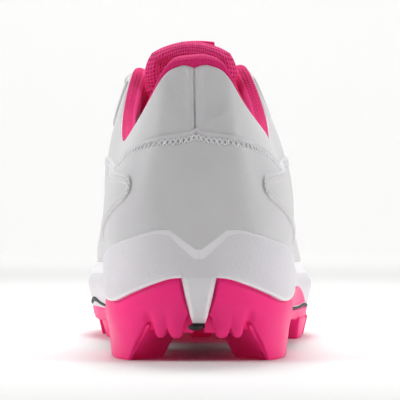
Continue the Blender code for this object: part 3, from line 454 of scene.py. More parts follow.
def remap(tree, value, low, high, to_low=0.0, to_high=1.0):
    """A socket's values from low to high turned into those from to_low to to_high, held at both ends."""
    values = {"Value": value, "From Min": low, "From Max": high, "To Min": to_low, "To Max": to_high}
    return add_node(tree, "ShaderNodeMapRange", values).outputs["Result"]


def arithmetic(tree, operation, *terms):
    """One Math node over sockets or numbers, as a socket."""
    return add_node(tree, "ShaderNodeMath", dict(enumerate(terms)), operation=operation).outputs["Value"]


def tinted(tree, colour, tint, share):
    """A colour socket mixed with one tint by a socket from 0 to 1."""
    values = {"Factor": share, "A": colour, "B": (*tint, 1.0)}
    return add_node(tree, "ShaderNodeMix", values, data_type="RGBA").outputs["Result"]


def add_vents(tree, shader, spot, colour):
    """Pinholes on a staggered lattice in plan: within a radius of a lattice point the leather is sunk and
    painted dark as the shade inside the hole, wherever the toe box's attribute is 1."""
    lattice = add_node(tree, "ShaderNodeMapping", {"Vector": spot, "Rotation": (0.0, 0.0, 0.25 * np.pi),
                                                   "Scale": (1 / (VENT_PITCH * MM),) * 2 + (0.0,)})
    cell = add_node(tree, "ShaderNodeVectorMath", {0: lattice.outputs["Vector"]}, operation="FRACTION")
    reach = add_node(tree, "ShaderNodeVectorMath", {0: cell.outputs["Vector"], 1: (0.5, 0.5, 0.0)},
                     operation="DISTANCE")
    radius = VENT_RADIUS / VENT_PITCH
    hole = remap(tree, reach.outputs["Value"], 1.15 * radius, 0.85 * radius)
    zone = add_node(tree, "ShaderNodeAttribute", attribute_name="toe_box").outputs["Fac"]
    holes = arithmetic(tree, "MULTIPLY", hole, zone)
    # Painted shade: the pinholes are tinted near black
    tree.links.new(tinted(tree, colour, VENT_HOLE_SHADE, holes), shader.inputs["Base Color"])
    add_bump(tree, shader, arithmetic(tree, "MULTIPLY", holes, -1.0), 0.5, 0.8)


def leather_finish(name, vents=False):
    """Coated leather: a fine pebble grain, faint mottling in colour and gloss, and a thin clear coat. With
    vents, rows of pinholes over the toe box, measured in the shoe's own plan."""
    made, tree, shader = new_finish(name, (0.68, 0.67, 0.685), 0.46, Coat_Weight=0.10, Coat_Roughness=0.35)
    spot = add_node(tree, "ShaderNodeTexCoord").outputs["Object"]
    pebble = add_node(tree, "ShaderNodeTexVoronoi", {"Vector": spot, "Scale": 1150.0, "Randomness": 0.9})
    fibre, cloud = noise(tree, 2600.0, 3.0), noise(tree, 45.0, 4.0, Roughness=0.6)
    colour = ramp(tree, cloud, ((0.30, (0.650, 0.640, 0.656)), (0.70, (0.700, 0.690, 0.705))))
    tree.links.new(colour, shader.inputs["Base Color"])
    tree.links.new(remap(tree, cloud, 0.3, 0.7, 0.40, 0.52), shader.inputs["Roughness"])
    add_bump(tree, shader, pebble.outputs["Distance"], 0.09, 0.55)
    add_bump(tree, shader, fibre, 0.03, 0.5)
    add_bump(tree, shader, cloud, 0.5, 0.25)
    if vents:
        add_vents(tree, shader, spot, colour)
    return made


leather = leather_finish("white_leather")
vented_leather = leather_finish("vented_leather", vents=True)


def upper_grid():
    """Rows up the outer face, over a rounded edge and down the inner face, all round the foot."""
    places = np.concatenate([stops(-12.0, (-3.0, 0.6), (3.0, 0.2), (12.0, 0.6)),
                             stops(12.0, (ROUND - 12.0, 1.45))[1:-1]])
    up = np.linspace(0, 1, UPPER_ROWS)
    outer = upper_at(places[None, :], up[:, None], seam=True)
    down = np.linspace(1, 0, UPPER_INNER_ROWS)
    inner = upper_at(places[None, :], down[:, None], -UPPER_WALL)
    crown = 0.5 * (outer[-1] + inner[0])
    crown += unit(last_point(places, 1.0) - last_point(places, 0.97)) * EDGE_CROWN
    return np.concatenate([outer, crown[None], inner])


upper = make_piece("upper_leather", [upper_grid()], vented_leather, "white_leather", "upper", ring=True)
spots = np.zeros(3 * len(upper.data.vertices), np.float32)
upper.data.vertices.foreach_get("co", spots)
x, y, z = (spots.reshape(-1, 3) / MM - HEEL_TO_ORIGIN).T
toe_box = ease(y, *VENTS_FROM) * (1 - ease(y, *VENTS_TO)) * ease(z, *VENTS_ABOVE)
toe_box *= 1 - ease(np.abs(x - VENTS_MIDDLE_X), *VENTS_WITHIN)
upper.data.attributes.new("toe_box", "FLOAT", "POINT").data.foreach_set("value", toe_box.astype(np.float32))

# Heel counter
# A stiffened leather panel cemented round the heel and sewn along its arched top edge with a zigzag that
# pulls a shallow groove into the leather just under a rolled lip.
OVERLAY_WALL = 1.0
OVERLAY_SINK = 0.3
RIM_NOTCH = 0.9
RIM_PEAK = 9.4
RIM_ROUND = (0.0, RIM_NOTCH, RIM_PEAK, 14.5, 20.0, 31.0, 45.0, 70.0, 110.0, 160.0, 240.0, 320.0)
RIM_RISE = (15.3, 15.3, 22.1, 22.0, 20.6, 17.6, 13.2, 10.8, 10.2, 12.2, 11.8, 12.5)
COUNTER_END = 72.0
COUNTER_TOP_ROUND = (0.0, 1.6, 4.0, 17.0, 28.0, 42.0, 56.0, 72.0)
COUNTER_TOP_HEIGHT = (84.4, 83.4, 82.9, 81.6, 79.6, 75.6, 70.0, 61.0)
ZIGZAG_END = 54.0
# Lip and groove along the top edge, each a bell: rise, distance from the edge and width
COUNTER_LIP = (0.32, 0.8, 0.45)
COUNTER_GROOVE = (0.42, 2.6, 1.5)
ZIGZAG_PITCH = 1.9
ZIGZAG_HIGH = 1.7
ZIGZAG_LOW = 4.3
THREAD_RADIUS = 0.3


def rim_height(place):
    """Top of the cup above the floor: straight runs at the notch, rounded along the foot."""
    distance = np.abs(signed_round(place))
    rise = np.where(distance < RIM_PEAK, np.interp(distance, RIM_ROUND, RIM_RISE),
                    smooth_table(distance, RIM_ROUND[2:], RIM_RISE[2:]))
    return footbed(SHAPE(place)[..., 1]) + rise


def crowded(count):
    """Numbers from 0 to 1 that crowd towards both ends, as the shadow of even steps round a half circle."""
    return 0.5 - 0.5 * np.cos(np.linspace(0, np.pi, count))


def rib_length(place):
    """Length of the upper's wall from footbed to edge, from a chain of chords."""
    chain = last_point(np.asarray(place)[:, None], np.linspace(0, 1, 25)[None, :])
    return np.linalg.norm(np.diff(chain, axis=1), axis=-1).sum(axis=1)


def quarter_round(share):
    """Height of a quarter circle of radius 1 over a share of its width, level from 1 on."""
    return np.sqrt(np.clip(1 - (1 - np.clip(share, 0, 1))**2, 0, 1))


def closed_pair(face, back):
    """Closed sections from a face and the back behind it."""
    return np.concatenate([face, back[:, ::-1]], axis=1)


def overlay_grid(places, low, high, relief, rows, lift=0.0, wall=OVERLAY_WALL, roll=0.9):
    """A panel laid on the upper. Its face stands wall above the leather and rolls down to it in a quarter
    circle all round; the back is sunk below the leather. relief adds to the face by distance from the lower
    and the upper edge."""
    t = crowded(rows)
    shares = low[:, None] + t[None, :] * (high - low)[:, None]
    length = rib_length(places)[:, None]
    from_low = (shares - low[:, None]) * length
    from_high = (high[:, None] - shares) * length
    run = np.abs(places - places[0])
    from_end = np.minimum(run, run[-1] - run)[:, None]
    nearest = np.minimum(np.minimum(from_low, from_high), from_end)
    height = (wall + OVERLAY_SINK + lift) * quarter_round(nearest / roll) - OVERLAY_SINK
    height = height + relief(from_low, from_high) * np.clip(nearest / roll, 0, 1)
    back = upper_at(places[:, None], shares, np.full(shares.shape, -OVERLAY_SINK))
    return closed_pair(upper_at(places[:, None], shares, height), back)


def counter_top(place):
    """Height of the counter's arched edge, from its table round the heel."""
    return smooth_table(np.abs(signed_round(place)), COUNTER_TOP_ROUND, COUNTER_TOP_HEIGHT)


def counter_relief(from_low, from_high):
    """A rolled lip along the top edge, with the zigzag's groove under it."""
    lip = COUNTER_LIP[0] * bell(from_high, *COUNTER_LIP[1:])
    return lip - COUNTER_GROOVE[0] * bell(from_high, *COUNTER_GROOVE[1:])


places = stops(-COUNTER_END, (-COUNTER_END + 2, 0.3), (-6, 0.9), (6, 0.5), (COUNTER_END - 2, 0.9),
               (COUNTER_END, 0.3))
counter_low = share_at(places, rim_height(places) - 1.5)
counter_high = share_at(places, counter_top(places))
counter = overlay_grid(places, counter_low, counter_high, counter_relief, 76)
make_piece("heel_counter_leather", [counter], leather, "white_leather", "heel_counter")


def thread_finish(name, colour):
    """Spun polyester: two plies that wind round the thread, a little sheen and no gloss."""
    made, tree, shader = new_finish(name, colour, 0.62, Sheen_Weight=0.25, Sheen_Roughness=0.4)
    spot = add_node(tree, "ShaderNodeTexCoord").outputs["Object"]
    ply = add_node(tree, "ShaderNodeTexWave", {"Vector": spot, "Scale": 900.0, "Distortion": 1.5},
                   wave_type="BANDS", bands_direction="DIAGONAL")
    add_bump(tree, shader, ply.outputs["Fac"], 0.08, 0.6)
    return made


white_thread = thread_finish("white_thread", (0.86, 0.85, 0.87))
CAPSULE_ALONG = np.array([-0.5, -0.46, -0.34, 0.0, 0.34, 0.46, 0.5])
CAPSULE_WIDTH = np.array([0.0, 0.55, 0.9, 1.0, 0.9, 0.55, 0.0])
CAPSULE_SINK = np.array([-1.1, -0.6, 0.1, 0.4, 0.1, -0.6, -1.1])


def stitch_grids(starts, ends, normals, radius=THREAD_RADIUS, sides=6):
    """Stitches as capsules from start to end points: rings round a line that arches out of the leather in
    the middle and dives into it at both ends."""
    run = ends - starts
    length = np.linalg.norm(run, axis=-1)
    along = run / length[:, None]
    side = unit(np.cross(along, normals))
    out = np.cross(side, along)
    angle = np.linspace(0, 2 * np.pi, sides, endpoint=False)
    centre = (0.5 * (starts + ends)[:, None] + along[:, None] * (CAPSULE_ALONG * length[:, None])[..., None]
              + out[:, None] * (radius * CAPSULE_SINK)[None, :, None])
    ring = (side[:, None, None] * np.cos(angle)[None, None, :, None]
            + out[:, None, None] * np.sin(angle)[None, None, :, None])
    return centre[:, :, None] + ring * (radius * CAPSULE_WIDTH)[None, :, None, None]


def running_length(points, axis=0):
    """Distance from the start along a chain of points, or along each line of a grid of them."""
    step = np.linalg.norm(np.diff(points, axis=axis), axis=-1)
    pad = [(0, 0)] * step.ndim
    pad[axis] = (1, 0)
    return np.pad(np.cumsum(step, axis=axis), pad)


def even_places(start, end, pitch, height):
    """Places pitch millimetres apart along a line on the upper, which follows height, a function of place."""
    fine = np.linspace(start, end, 600)
    run = running_length(last_point(fine, share_at(fine, height(fine))))
    return np.interp(np.arange(0.0, run[-1], pitch), run, fine)


at = even_places(-ZIGZAG_END, ZIGZAG_END, ZIGZAG_PITCH, counter_top)
top_share = share_at(at, counter_top(at))
length = rib_length(at)
groove_lift = OVERLAY_WALL - 0.55 * COUNTER_GROOVE[0]
upper_ends = upper_at(at, top_share - ZIGZAG_HIGH / length, groove_lift)
lower_ends = upper_at(at, top_share - ZIGZAG_LOW / length, groove_lift + 0.1)
facing = last_normal(at, top_share - 0.5 * (ZIGZAG_HIGH + ZIGZAG_LOW) / length)
zigzag = np.concatenate([stitch_grids(upper_ends[:-1], lower_ends[1:], facing[:-1]),
                         stitch_grids(lower_ends[:-1], upper_ends[1:], facing[:-1])])
make_piece("heel_counter_zigzag", zigzag, white_thread, "white_leather")

# Side panels
# Leather saddle panels sewn to both sides with a double row of lockstitch. Their blunt rear tips lie over
# the counter; the border is padded and the middle lies a little lower.
PANEL_TIP = 26.0
PANEL_END = 152.0
# Each row: distance round from the back of the heel, then the top and the bottom edge above the floor
PANEL_ROWS = ((26.5, 67.2, 58.6), (30.0, 67.8, 57.0), (35.0, 68.2, 54.2), (44.0, 68.8, 50.0),
              (56.0, 70.5, 46.0), (74.0, 73.0, 41.0), (100.0, 76.5, 34.0), (128.0, 76.0, 33.0),
              (152.0, 72.0, 33.0))
PANEL_TIP_ROUND = 3.6
PANEL_BORDER = 3.2
PANEL_SINK = 0.55
STITCH_PITCH = 1.9
STITCH_LENGTH = 1.45
STITCH_RADIUS = 0.26
STITCH_INSETS = (1.0, 2.5)
FURROW_WIDTH = 0.6
PANEL_FURROW = 0.22


def on_side(side, distance):
    """Places at distances round from the back of the heel, on the outer side (1) or the inner side (-1)."""
    return np.mod(side * distance, ROUND)


def panel_edges(distance):
    """Top and bottom edges of a panel above the floor, drawn together round the blunt rear tip."""
    at, top, low = np.array(PANEL_ROWS).T
    high, base = smooth_table(distance, at, top), smooth_table(distance, at, low)
    spread = quarter_round((distance - PANEL_TIP) / PANEL_TIP_ROUND)
    middle, half = 0.5 * (high + base), 0.5 * (high - base)
    return middle + half * spread, middle - half * spread


def furrows(inside):
    """The furrows that the stitch rows pull, 1 deep, by distance inside an edge."""
    return sum(bell(inside, inset, FURROW_WIDTH) for inset in STITCH_INSETS)


def panel_relief(from_low, from_high):
    """A padded border with stitch furrows, and a lower middle."""
    inside = np.minimum(from_low, from_high)
    return -PANEL_SINK * ease(inside, PANEL_BORDER, PANEL_BORDER + 0.9) - PANEL_FURROW * furrows(inside)


def lift_over_counter(distance):
    """A panel stands on the counter at the back and comes down to the upper past the counter's end."""
    return np.interp(distance, (COUNTER_END - 2.0, COUNTER_END + 7.0), (OVERLAY_WALL, 0.0))


def stitch_line(points, normals, pitch=STITCH_PITCH, length=STITCH_LENGTH):
    """Lockstitches along a chain of points: evenly spaced, each pointing along the chain."""
    run = running_length(points)
    middle = np.arange(0.5 * pitch, run[-1] - 0.5 * length, pitch)

    def on_chain(values, at):
        return np.stack([np.interp(at, run, column) for column in values.T], axis=-1)

    return stitch_grids(on_chain(points, middle - 0.5 * length), on_chain(points, middle + 0.5 * length),
                        unit(on_chain(normals, middle)), radius=STITCH_RADIUS)


def panel_stitches(places, distance, lift, inset):
    """The chain of an inset line: forward along the bottom edge, back along the top edge."""
    high, low = panel_edges(distance)
    keep = (high - low) > 2.2 * inset
    length = rib_length(places[keep])
    top = share_at(places[keep], high[keep]) - inset / length
    base = share_at(places[keep], np.maximum(low, rim_height(places) + 0.5)[keep]) + inset / length
    at = np.concatenate([places[keep][::-1], places[keep]])
    share = np.concatenate([top[::-1], base])
    out = np.concatenate([lift[keep][::-1], lift[keep]]) + OVERLAY_WALL - 0.2
    return stitch_line(upper_at(at, share, out), last_normal(at, share))


for side_name, side in (("outer", 1.0), ("inner", -1.0)):
    distance = stops(PANEL_TIP, (PANEL_TIP + 1.5, 0.12), (PANEL_TIP + 8, 0.35), (PANEL_END - 2, 1.1),
                     (PANEL_END, 0.2))
    places = on_side(side, distance)
    high, low = panel_edges(distance)
    low = np.minimum(np.maximum(low, rim_height(places) - 1.0), high)
    lift = lift_over_counter(distance)
    panel = overlay_grid(places, share_at(places, low), share_at(places, high), panel_relief, 60,
                         lift[:, None])
    make_piece(f"side_panel_{side_name}_leather", [panel], leather, "white_leather",
               f"side_panel_{side_name}")
    rows = [panel_stitches(places, distance, lift, inset) for inset in STITCH_INSETS]
    make_piece(f"side_panel_{side_name}_stitches", np.concatenate(rows), white_thread, "white_leather")

# Eyestay
# A doubled leather band round the throat, sewn down along its outer edge, with six punched and bushed
# holes a side for the lace.
EYESTAY_WIDTH = 19.0
EYESTAY_WALL = 0.8
EYESTAY_FURROW = 0.2
EYESTAY_SEWN_TO = 0.97
EYELET_ROWS = 6
EYELET_INSET = 8.0
EYELET_TOP = 21.0
EYELET_RADIUS = 2.5
EYELET_TUBE = 0.75


def eyestay_relief(from_low, from_high):
    """Stitch furrows along the band's outer edge."""
    return -EYESTAY_FURROW * furrows(from_low)


def throat_length(places):
    """Length of wall for a share of 1 near the throat's edge."""
    return np.linalg.norm(last_point(places, 1.0) - last_point(places, 0.7), axis=-1) / 0.3


start, end = PLACE["ear_out"] - 4, PLACE["ear_in"] + 4
places = stops(start, (start + 2, 0.25), (end - 2, 1.3), (end, 0.25))
low = 1 - EYESTAY_WIDTH / throat_length(places)
eyestay = overlay_grid(places, low, np.full(len(places), 0.999), eyestay_relief, 40, wall=EYESTAY_WALL)
make_piece("eyestay_leather", [eyestay], leather, "white_leather", "eyestay")


def eyestay_line(inset):
    """A chain inside the band's border: up one end, along the outer edge, and up the other end."""
    inner = (places > start + inset) & (places < end - inset)
    at = places[inner]
    edge = low[inner] + inset / throat_length(at)
    rise = np.linspace(0, 1, 20)
    first = edge[0] + (EYESTAY_SEWN_TO - edge[0]) * rise[::-1]
    last = edge[-1] + (EYESTAY_SEWN_TO - edge[-1]) * rise
    at = np.concatenate([np.full(len(rise) - 1, at[0]), at, np.full(len(rise) - 1, at[-1])])
    share = np.concatenate([first[:-1], edge, last[1:]])
    return stitch_line(upper_at(at, share, EYESTAY_WALL - 0.15), last_normal(at, share))


rows = [eyestay_line(inset) for inset in STITCH_INSETS]
make_piece("eyestay_stitches", np.concatenate(rows), white_thread, "white_leather")


def eyelet_places():
    """Where each lace hole sits, as places along both edges of the throat, from the toe upwards."""
    outer = np.linspace(PLACE["vamp_out"] - 3, PLACE["ear_out"] + EYELET_TOP, EYELET_ROWS)
    inner = np.linspace(PLACE["vamp_in"] + 3, PLACE["ear_in"] - EYELET_TOP, EYELET_ROWS)
    return outer, inner


def eyelet_frame(place):
    """Centre, outward normal and two directions in the leather at a lace hole."""
    share = 1 - EYELET_INSET / throat_length(place)
    normal = last_normal(place, share)
    along = unit(last_point(place + 1, share) - last_point(place - 1, share))
    return upper_at(place, share, EYESTAY_WALL), normal, along, np.cross(normal, along)


def eyelet_grids(place, bush):
    """Rings at the holes: the bush is a half-round lip, and the hole a shallow cup inside it."""
    centre, normal, along, across = eyelet_frame(place)
    turn = np.linspace(0, 2 * np.pi, 28, endpoint=False)
    if bush:
        bend = np.linspace(0, 2 * np.pi, 12, endpoint=False)
        radius, height = EYELET_RADIUS + EYELET_TUBE * np.cos(bend), 0.55 * EYELET_TUBE * np.sin(bend)
    else:
        radius = np.array([EYELET_RADIUS - 0.1, 0.7 * EYELET_RADIUS, 0.0, 0.0, EYELET_RADIUS - 0.1])
        height = np.array([0.12, -0.15, -0.2, -0.9, -0.9])
    ring = along[:, None] * np.cos(turn)[None, :, None] + across[:, None] * np.sin(turn)[None, :, None]
    return (centre[:, None, None] + ring[:, None] * radius[None, :, None, None]
            + normal[:, None, None] * height[None, :, None, None])


holes = np.concatenate(eyelet_places())
bush_finish, tree, shader = new_finish("eyelet_bush", (0.80, 0.79, 0.81), 0.32, Coat_Weight=0.3,
                                       Coat_Roughness=0.2)
add_bump(tree, shader, noise(tree, 1500.0, 2.0), 0.03, 0.4)
make_piece("eyelet_bushes", eyelet_grids(holes, True), bush_finish, "white_leather", ring=True)
# Painted shade: a near-black cup stands for the dark inside each lace hole
hole_shade_finish = new_finish("eyelet_hole", (0.02, 0.02, 0.022), 0.8)[0]
make_piece("eyelet_holes", eyelet_grids(holes, False), hole_shade_finish, "black_plate", ring=True)

# Collar lining
# Knitted spacer mesh in hot pink over foam, sewn inside the collar from ear to ear and rolled over the
# edge of the leather, so that a bead of it shows all round.
LINING_START = 0.12
LINING_PAD = 4.2
LINING_ROLL = 3.5
LINING_TUCK = -2.0
LINING_PAST_EAR = 22.0
LINING_BEHIND = UPPER_WALL - 0.35
LINING_END_ROUND = 5.0
LINING_FADE = (5.0, 13.0)
LINING_PROUD = 1.35
# Extra foam over the ears, a bell: share of the pad, distance from the lining's end and width
LINING_EAR = (0.3, 22.0, 12.0)
PINK_LIGHT = (0.98, 0.095, 0.36)
# PINK_DEEP is the colour of the mesh holes: painted shade inside them
PINK_DEEP = (0.84, 0.035, 0.23)
# Painted shade: a deeper pink along the roll's bead, where it turns away from the light
BEAD_SHADE_PINK = (0.72, 0.022, 0.17)
BEAD_COLUMNS = (19, 30)
# Painted glow: an emission on the pink knit and rubber that gives them a little light of their own
PAINTED_GLOW = 0.05
PAINTED_GLOW_RED = (1.0, 0.02, 0.16, 1.0)


def knit_finish(name, pitch, stretch, depth, light=PINK_LIGHT, deep=PINK_DEEP, bead=None):
    """Knitted mesh: the product of two slanting waves on the piece's own UV, in metres. Where they cross low
    is a hole, sunk and painted darker as the shade inside it. Fine hairs give a soft sheen, and a painted
    glow, an emission, gives a little more red than falls on it. bead is the start and end, round the section,
    of a band painted deeper pink as shade on the roll."""
    made, tree, shader = new_finish(name, light, 0.78, Specular_IOR_Level=0.2, Sheen_Weight=0.12,
                                    Sheen_Roughness=0.45, Emission_Strength=PAINTED_GLOW)
    shader.inputs["Emission Color"].default_value = PAINTED_GLOW_RED
    shader.inputs["Sheen Tint"].default_value = (1.0, 0.55, 0.75, 1.0)
    uv = add_node(tree, "ShaderNodeUVMap", uv_map="UVMap").outputs["UV"]
    parts = add_node(tree, "ShaderNodeSeparateXYZ", {"Vector": uv}).outputs
    along = arithmetic(tree, "MULTIPLY", parts["X"], np.pi / (pitch * MM))
    turn = np.pi / (stretch * pitch * MM)
    waves = [arithmetic(tree, "SINE", arithmetic(tree, "MULTIPLY_ADD", parts["Y"], slant * turn, along))
             for slant in (1.0, -1.0)]
    height = remap(tree, arithmetic(tree, "MULTIPLY", *waves), -0.9, 0.6)
    # Painted shade: the sunk holes of the mesh are coloured darker
    colour = ramp(tree, height, ((0.0, deep), (0.75, light)))
    # Painted shade along the bead of the roll
    if bead is not None:
        inside = remap(tree, parts["Y"], bead[0] - MM, bead[0])
        outside = remap(tree, parts["Y"], bead[1] + MM, bead[1])
        colour = tinted(tree, colour, BEAD_SHADE_PINK, arithmetic(tree, "MULTIPLY", inside, outside))
    tree.links.new(colour, shader.inputs["Base Color"])
    add_bump(tree, shader, height, depth, 0.8)
    add_bump(tree, shader, noise(tree, 4200.0, 2.0), 0.05, 0.5)
    return made


def closed_curve(points, per_span):
    """A smooth closed curve through each row of points (..., count, 3): cubic spans whose slope at a point
    is half the step between its neighbours."""
    slope = 0.5 * (np.roll(points, -1, axis=-2) - np.roll(points, 1, axis=-2))
    u = np.linspace(0, 1, per_span, endpoint=False)[:, None]
    start, end = points[..., None, :], np.roll(points, -1, axis=-2)[..., None, :]
    first, last = slope[..., None, :], np.roll(slope, -1, axis=-2)[..., None, :]
    curve = ((1 + 2 * u) * (1 - u)**2 * start + u * (1 - u)**2 * first
             + u * u * (3 - 2 * u) * end + u * u * (u - 1) * last)
    return curve.reshape(*points.shape[:-2], -1, 3)


def loop_uv(sections):
    """UV in metres for closed sections along a path: the mean runs along the path and round it."""
    closed = np.concatenate([sections, sections[:, :1]], axis=1)
    along, across = running_length(closed).mean(axis=1), running_length(closed, 1).mean(axis=0)
    return np.stack(np.meshgrid(along, across, indexing="ij"), axis=-1) * MM


def rounded_ends(sections, run, reach):
    """Sections drawn together towards their middles near both ends of a path, as a half ball."""
    size = quarter_round(np.minimum(run - run[0], run[-1] - run) / reach)[:, None, None]
    middle = sections.mean(axis=1, keepdims=True)
    return middle + (sections - middle) * size


def lining_sections(places):
    """Closed sections of the padded lining: up behind the leather, over its edge, and down the foam. Past the
    ears the roll sinks below the throat's edge and the foam thins."""
    rim = share_at(places, rim_height(places))
    from_end = np.minimum(places - places[0], places[-1] - places)
    ear = LINING_EAR[0] * bell(from_end, *LINING_EAR[1:])
    pad = LINING_PAD * (np.interp(from_end, (0.0, 12.0), (0.5, 1.0)) + ear)
    puff = 1 + 0.04 * np.sin(places * 0.21) + 0.03 * np.sin(places * 0.53 + 1.0)
    roll = LINING_TUCK + (LINING_ROLL - LINING_TUCK) * ease(from_end, *LINING_FADE)
    up = unit(last_point(places, 1.0) - last_point(places, 0.97))

    def wall(step, depth):
        share = rim + step * (1 - rim)
        return last_point(places, share) - last_normal(places, share) * depth[:, None]

    def above(lift, depth):
        return wall(1.0, depth) + up * (lift * puff)[:, None]

    flat = np.full(len(places), LINING_BEHIND)
    proud = LINING_PROUD * ease(from_end, *LINING_FADE)
    return np.stack([
        wall(LINING_START, flat), wall(0.40, flat), wall(0.70, flat), wall(0.93, flat),
        above(np.minimum(0.15 * roll, roll), flat - proud), above(0.75 * roll, flat - 0.8 * proud),
        above(roll, flat + 0.3 * pad), above(roll - 1.1, flat + 0.85 * pad),
        wall(0.90, flat + pad * 1.08 * puff), wall(0.70, flat + pad * puff), wall(0.40, flat + 0.55 * pad),
        wall(LINING_START, flat + 1.4)], axis=1)


start, end = PLACE["ear_in"] - LINING_PAST_EAR, PLACE["ear_out"] + LINING_PAST_EAR + ROUND
places = stops(start, (start + 6, 0.35), (end - 6, 0.9), (end, 0.35))
sections = rounded_ends(closed_curve(lining_sections(places), 5), places, LINING_END_ROUND)
uv = loop_uv(sections)
# The band of painted shade lies over the bead's columns of the section
lining_knit = knit_finish("lining_knit", 1.15, 1.0, 0.28, bead=uv[0, BEAD_COLUMNS, 1])
lining = make_piece("collar_lining_knit", [sections], lining_knit, "pink_cloth", "collar_lining", [uv])

# Tongue
# A foam pad in a coarser pink mesh, sewn in at the foot of the throat and tucked under both its edges. Its
# top stands free above the ears, with a rolled rim at the back.
TONGUE_THICK = 4.6
TONGUE_CLEAR = 0.6
TONGUE_TUCK = 0.90
TONGUE_CROWN = 3.0
TONGUE_TOE = 12.0
TONGUE_SINK = 2.4
TONGUE_FREE_ROWS = ((5.6, 18.8, 7.6), (10.9, 19.2, 8.4), (14.4, 18.2, 7.0), (16.2, 15.8, 4.6))
TONGUE_CENTRE_X = -3.2
# Rolled rim at the back, a bell: rise, distance from the edge and width
TONGUE_ROLL = (2.2, 3.2, 2.2)
TONGUE_LEAN = np.array([0.0, -0.42, 0.91])


def inside_upper(place, share, depth):
    """A point depth millimetres inside the upper's smooth face."""
    return last_point(place, share) - last_normal(place, share) * np.asarray(depth, float)[..., None]


def tongue_sheet():
    """The tongue's upper face: rows across the throat, tucked under its edges, then free above the ears."""
    fractions = np.array([0.25, 0.5, 0.75])
    fan = np.linspace(PLACE["vamp_out"] + TONGUE_TOE, PLACE["vamp_in"] - TONGUE_TOE, 7)
    rows = [inside_upper(fan, np.full(7, TONGUE_TUCK), np.full(7, UPPER_WALL + TONGUE_CLEAR))]
    for step in np.linspace(0.0, 1.0, 7):
        both = np.array([PLACE["vamp_out"] + step * (PLACE["ear_out"] - PLACE["vamp_out"]),
                         PLACE["vamp_in"] + step * (PLACE["ear_in"] - PLACE["vamp_in"])])
        pad = max(0.0, step - 0.6) / 0.4 * (LINING_PAD + 2.0)
        clear = np.full(2, UPPER_WALL + TONGUE_CLEAR + pad + TONGUE_SINK * max(0.0, 1 - step / 0.35))
        hidden = inside_upper(both, np.full(2, TONGUE_TUCK), clear)
        shown = inside_upper(both, np.full(2, 0.985), clear)
        across = shown[0] + fractions[:, None] * (shown[1] - shown[0])
        across[:, 2] += 4 * fractions * (1 - fractions) * TONGUE_CROWN * (1.3 * step - 0.2)
        rows.append(np.vstack([hidden[0], shown[0], across, shown[1], hidden[1]]))
    spread = np.array([1.0, 0.72, 0.36, 0.0, -0.36, -0.72, -1.0])
    for lift, half_width, drop in TONGUE_FREE_ROWS:
        row = np.tile(rows[7][3] + lift * TONGUE_LEAN, (7, 1))
        row[:, 0] = TONGUE_CENTRE_X + half_width * spread
        row[:, 2] -= drop * spread**2
        rows.append(row)
    return np.array(rows)


def finer(grid, axis, count):
    """A grid drawn through more points along one axis, with a smooth curve through the given ones."""
    lines = np.moveaxis(grid, axis, 0)
    at = np.linspace(0, len(lines) - 1, count)
    flat = lines.reshape(len(lines), -1)
    made = np.stack([smooth_table(at, np.arange(len(lines)), column) for column in flat.T], axis=-1)
    return np.moveaxis(made.reshape(count, *lines.shape[1:]), 0, axis)


def sheet_normals(sheet):
    """Unit normals of a grid of points, from its slopes along rows and columns."""
    normal = unit(np.cross(np.gradient(sheet, axis=1), np.gradient(sheet, axis=0)))
    return normal * np.sign(normal[len(sheet) // 2, sheet.shape[1] // 2, 2])


TONGUE_ROWS, TONGUE_COLUMNS = 150, 57
tongue_face = finer(finer(tongue_sheet(), 1, TONGUE_COLUMNS), 0, TONGUE_ROWS)
tongue_normal = sheet_normals(tongue_face)


def pillow(face, normal, thick, plump, rim):
    """A padded sheet as closed sections: both faces stand off the middle sheet by half the thickness, which
    closes like a squared-off ellipse at the sides and at both ends. rim is added to the back."""
    across = np.abs(np.linspace(-1, 1, face.shape[1]))[None, :]
    along = np.abs(np.linspace(-1, 1, face.shape[0]))[:, None]
    half = 0.5 * thick * np.clip(1 - across**plump, 0, 1)**0.5 * np.clip(1 - along**30, 0, 1)**0.5
    middle = face - normal * 0.5 * thick
    back = middle - normal * (half + rim * (half > 0))[..., None]
    return closed_pair(middle + normal * half[..., None], back)


# Its deep colour is painted shade in the mesh holes
tongue_knit = knit_finish("tongue_knit", 1.5, 0.75, 0.45, light=(0.90, 0.06, 0.27), deep=(0.46, 0.004, 0.075))
from_side = running_length(tongue_face, 1)
from_side = np.minimum(from_side, from_side[:, -1:] - from_side)
from_top = running_length(tongue_face)
from_top = from_top[-1:] - from_top
to_edge = np.minimum(from_side, from_top)
top_roll = TONGUE_ROLL[0] * bell(to_edge, *TONGUE_ROLL[1:]) * (1 - ease(from_top, 18.0, 30.0))
sections = pillow(tongue_face, tongue_normal, TONGUE_THICK, 8, top_roll)
tongue = make_piece("tongue_pad", [sections], tongue_knit, "pink_cloth", "tongue", [loop_uv(sections)])

# Tongue label
# A plain tape woven in pink yarn, folded double and sewn over the top of the tongue's front, a little to
# one side.
LABEL_SIZE = (14.6, 1.4, 11.0)
LABEL_ASIDE = 2.6
LABEL_DROP = 0.7
LABEL_LEAN = 0.11
LABEL_BOW = 0.010
LABEL_ROUND = 0.6


def squared_off(wave, power):
    """A wave between -1 and 1 made squarer by a power below 1, with its sign kept."""
    return np.sign(wave) * np.abs(wave)**power


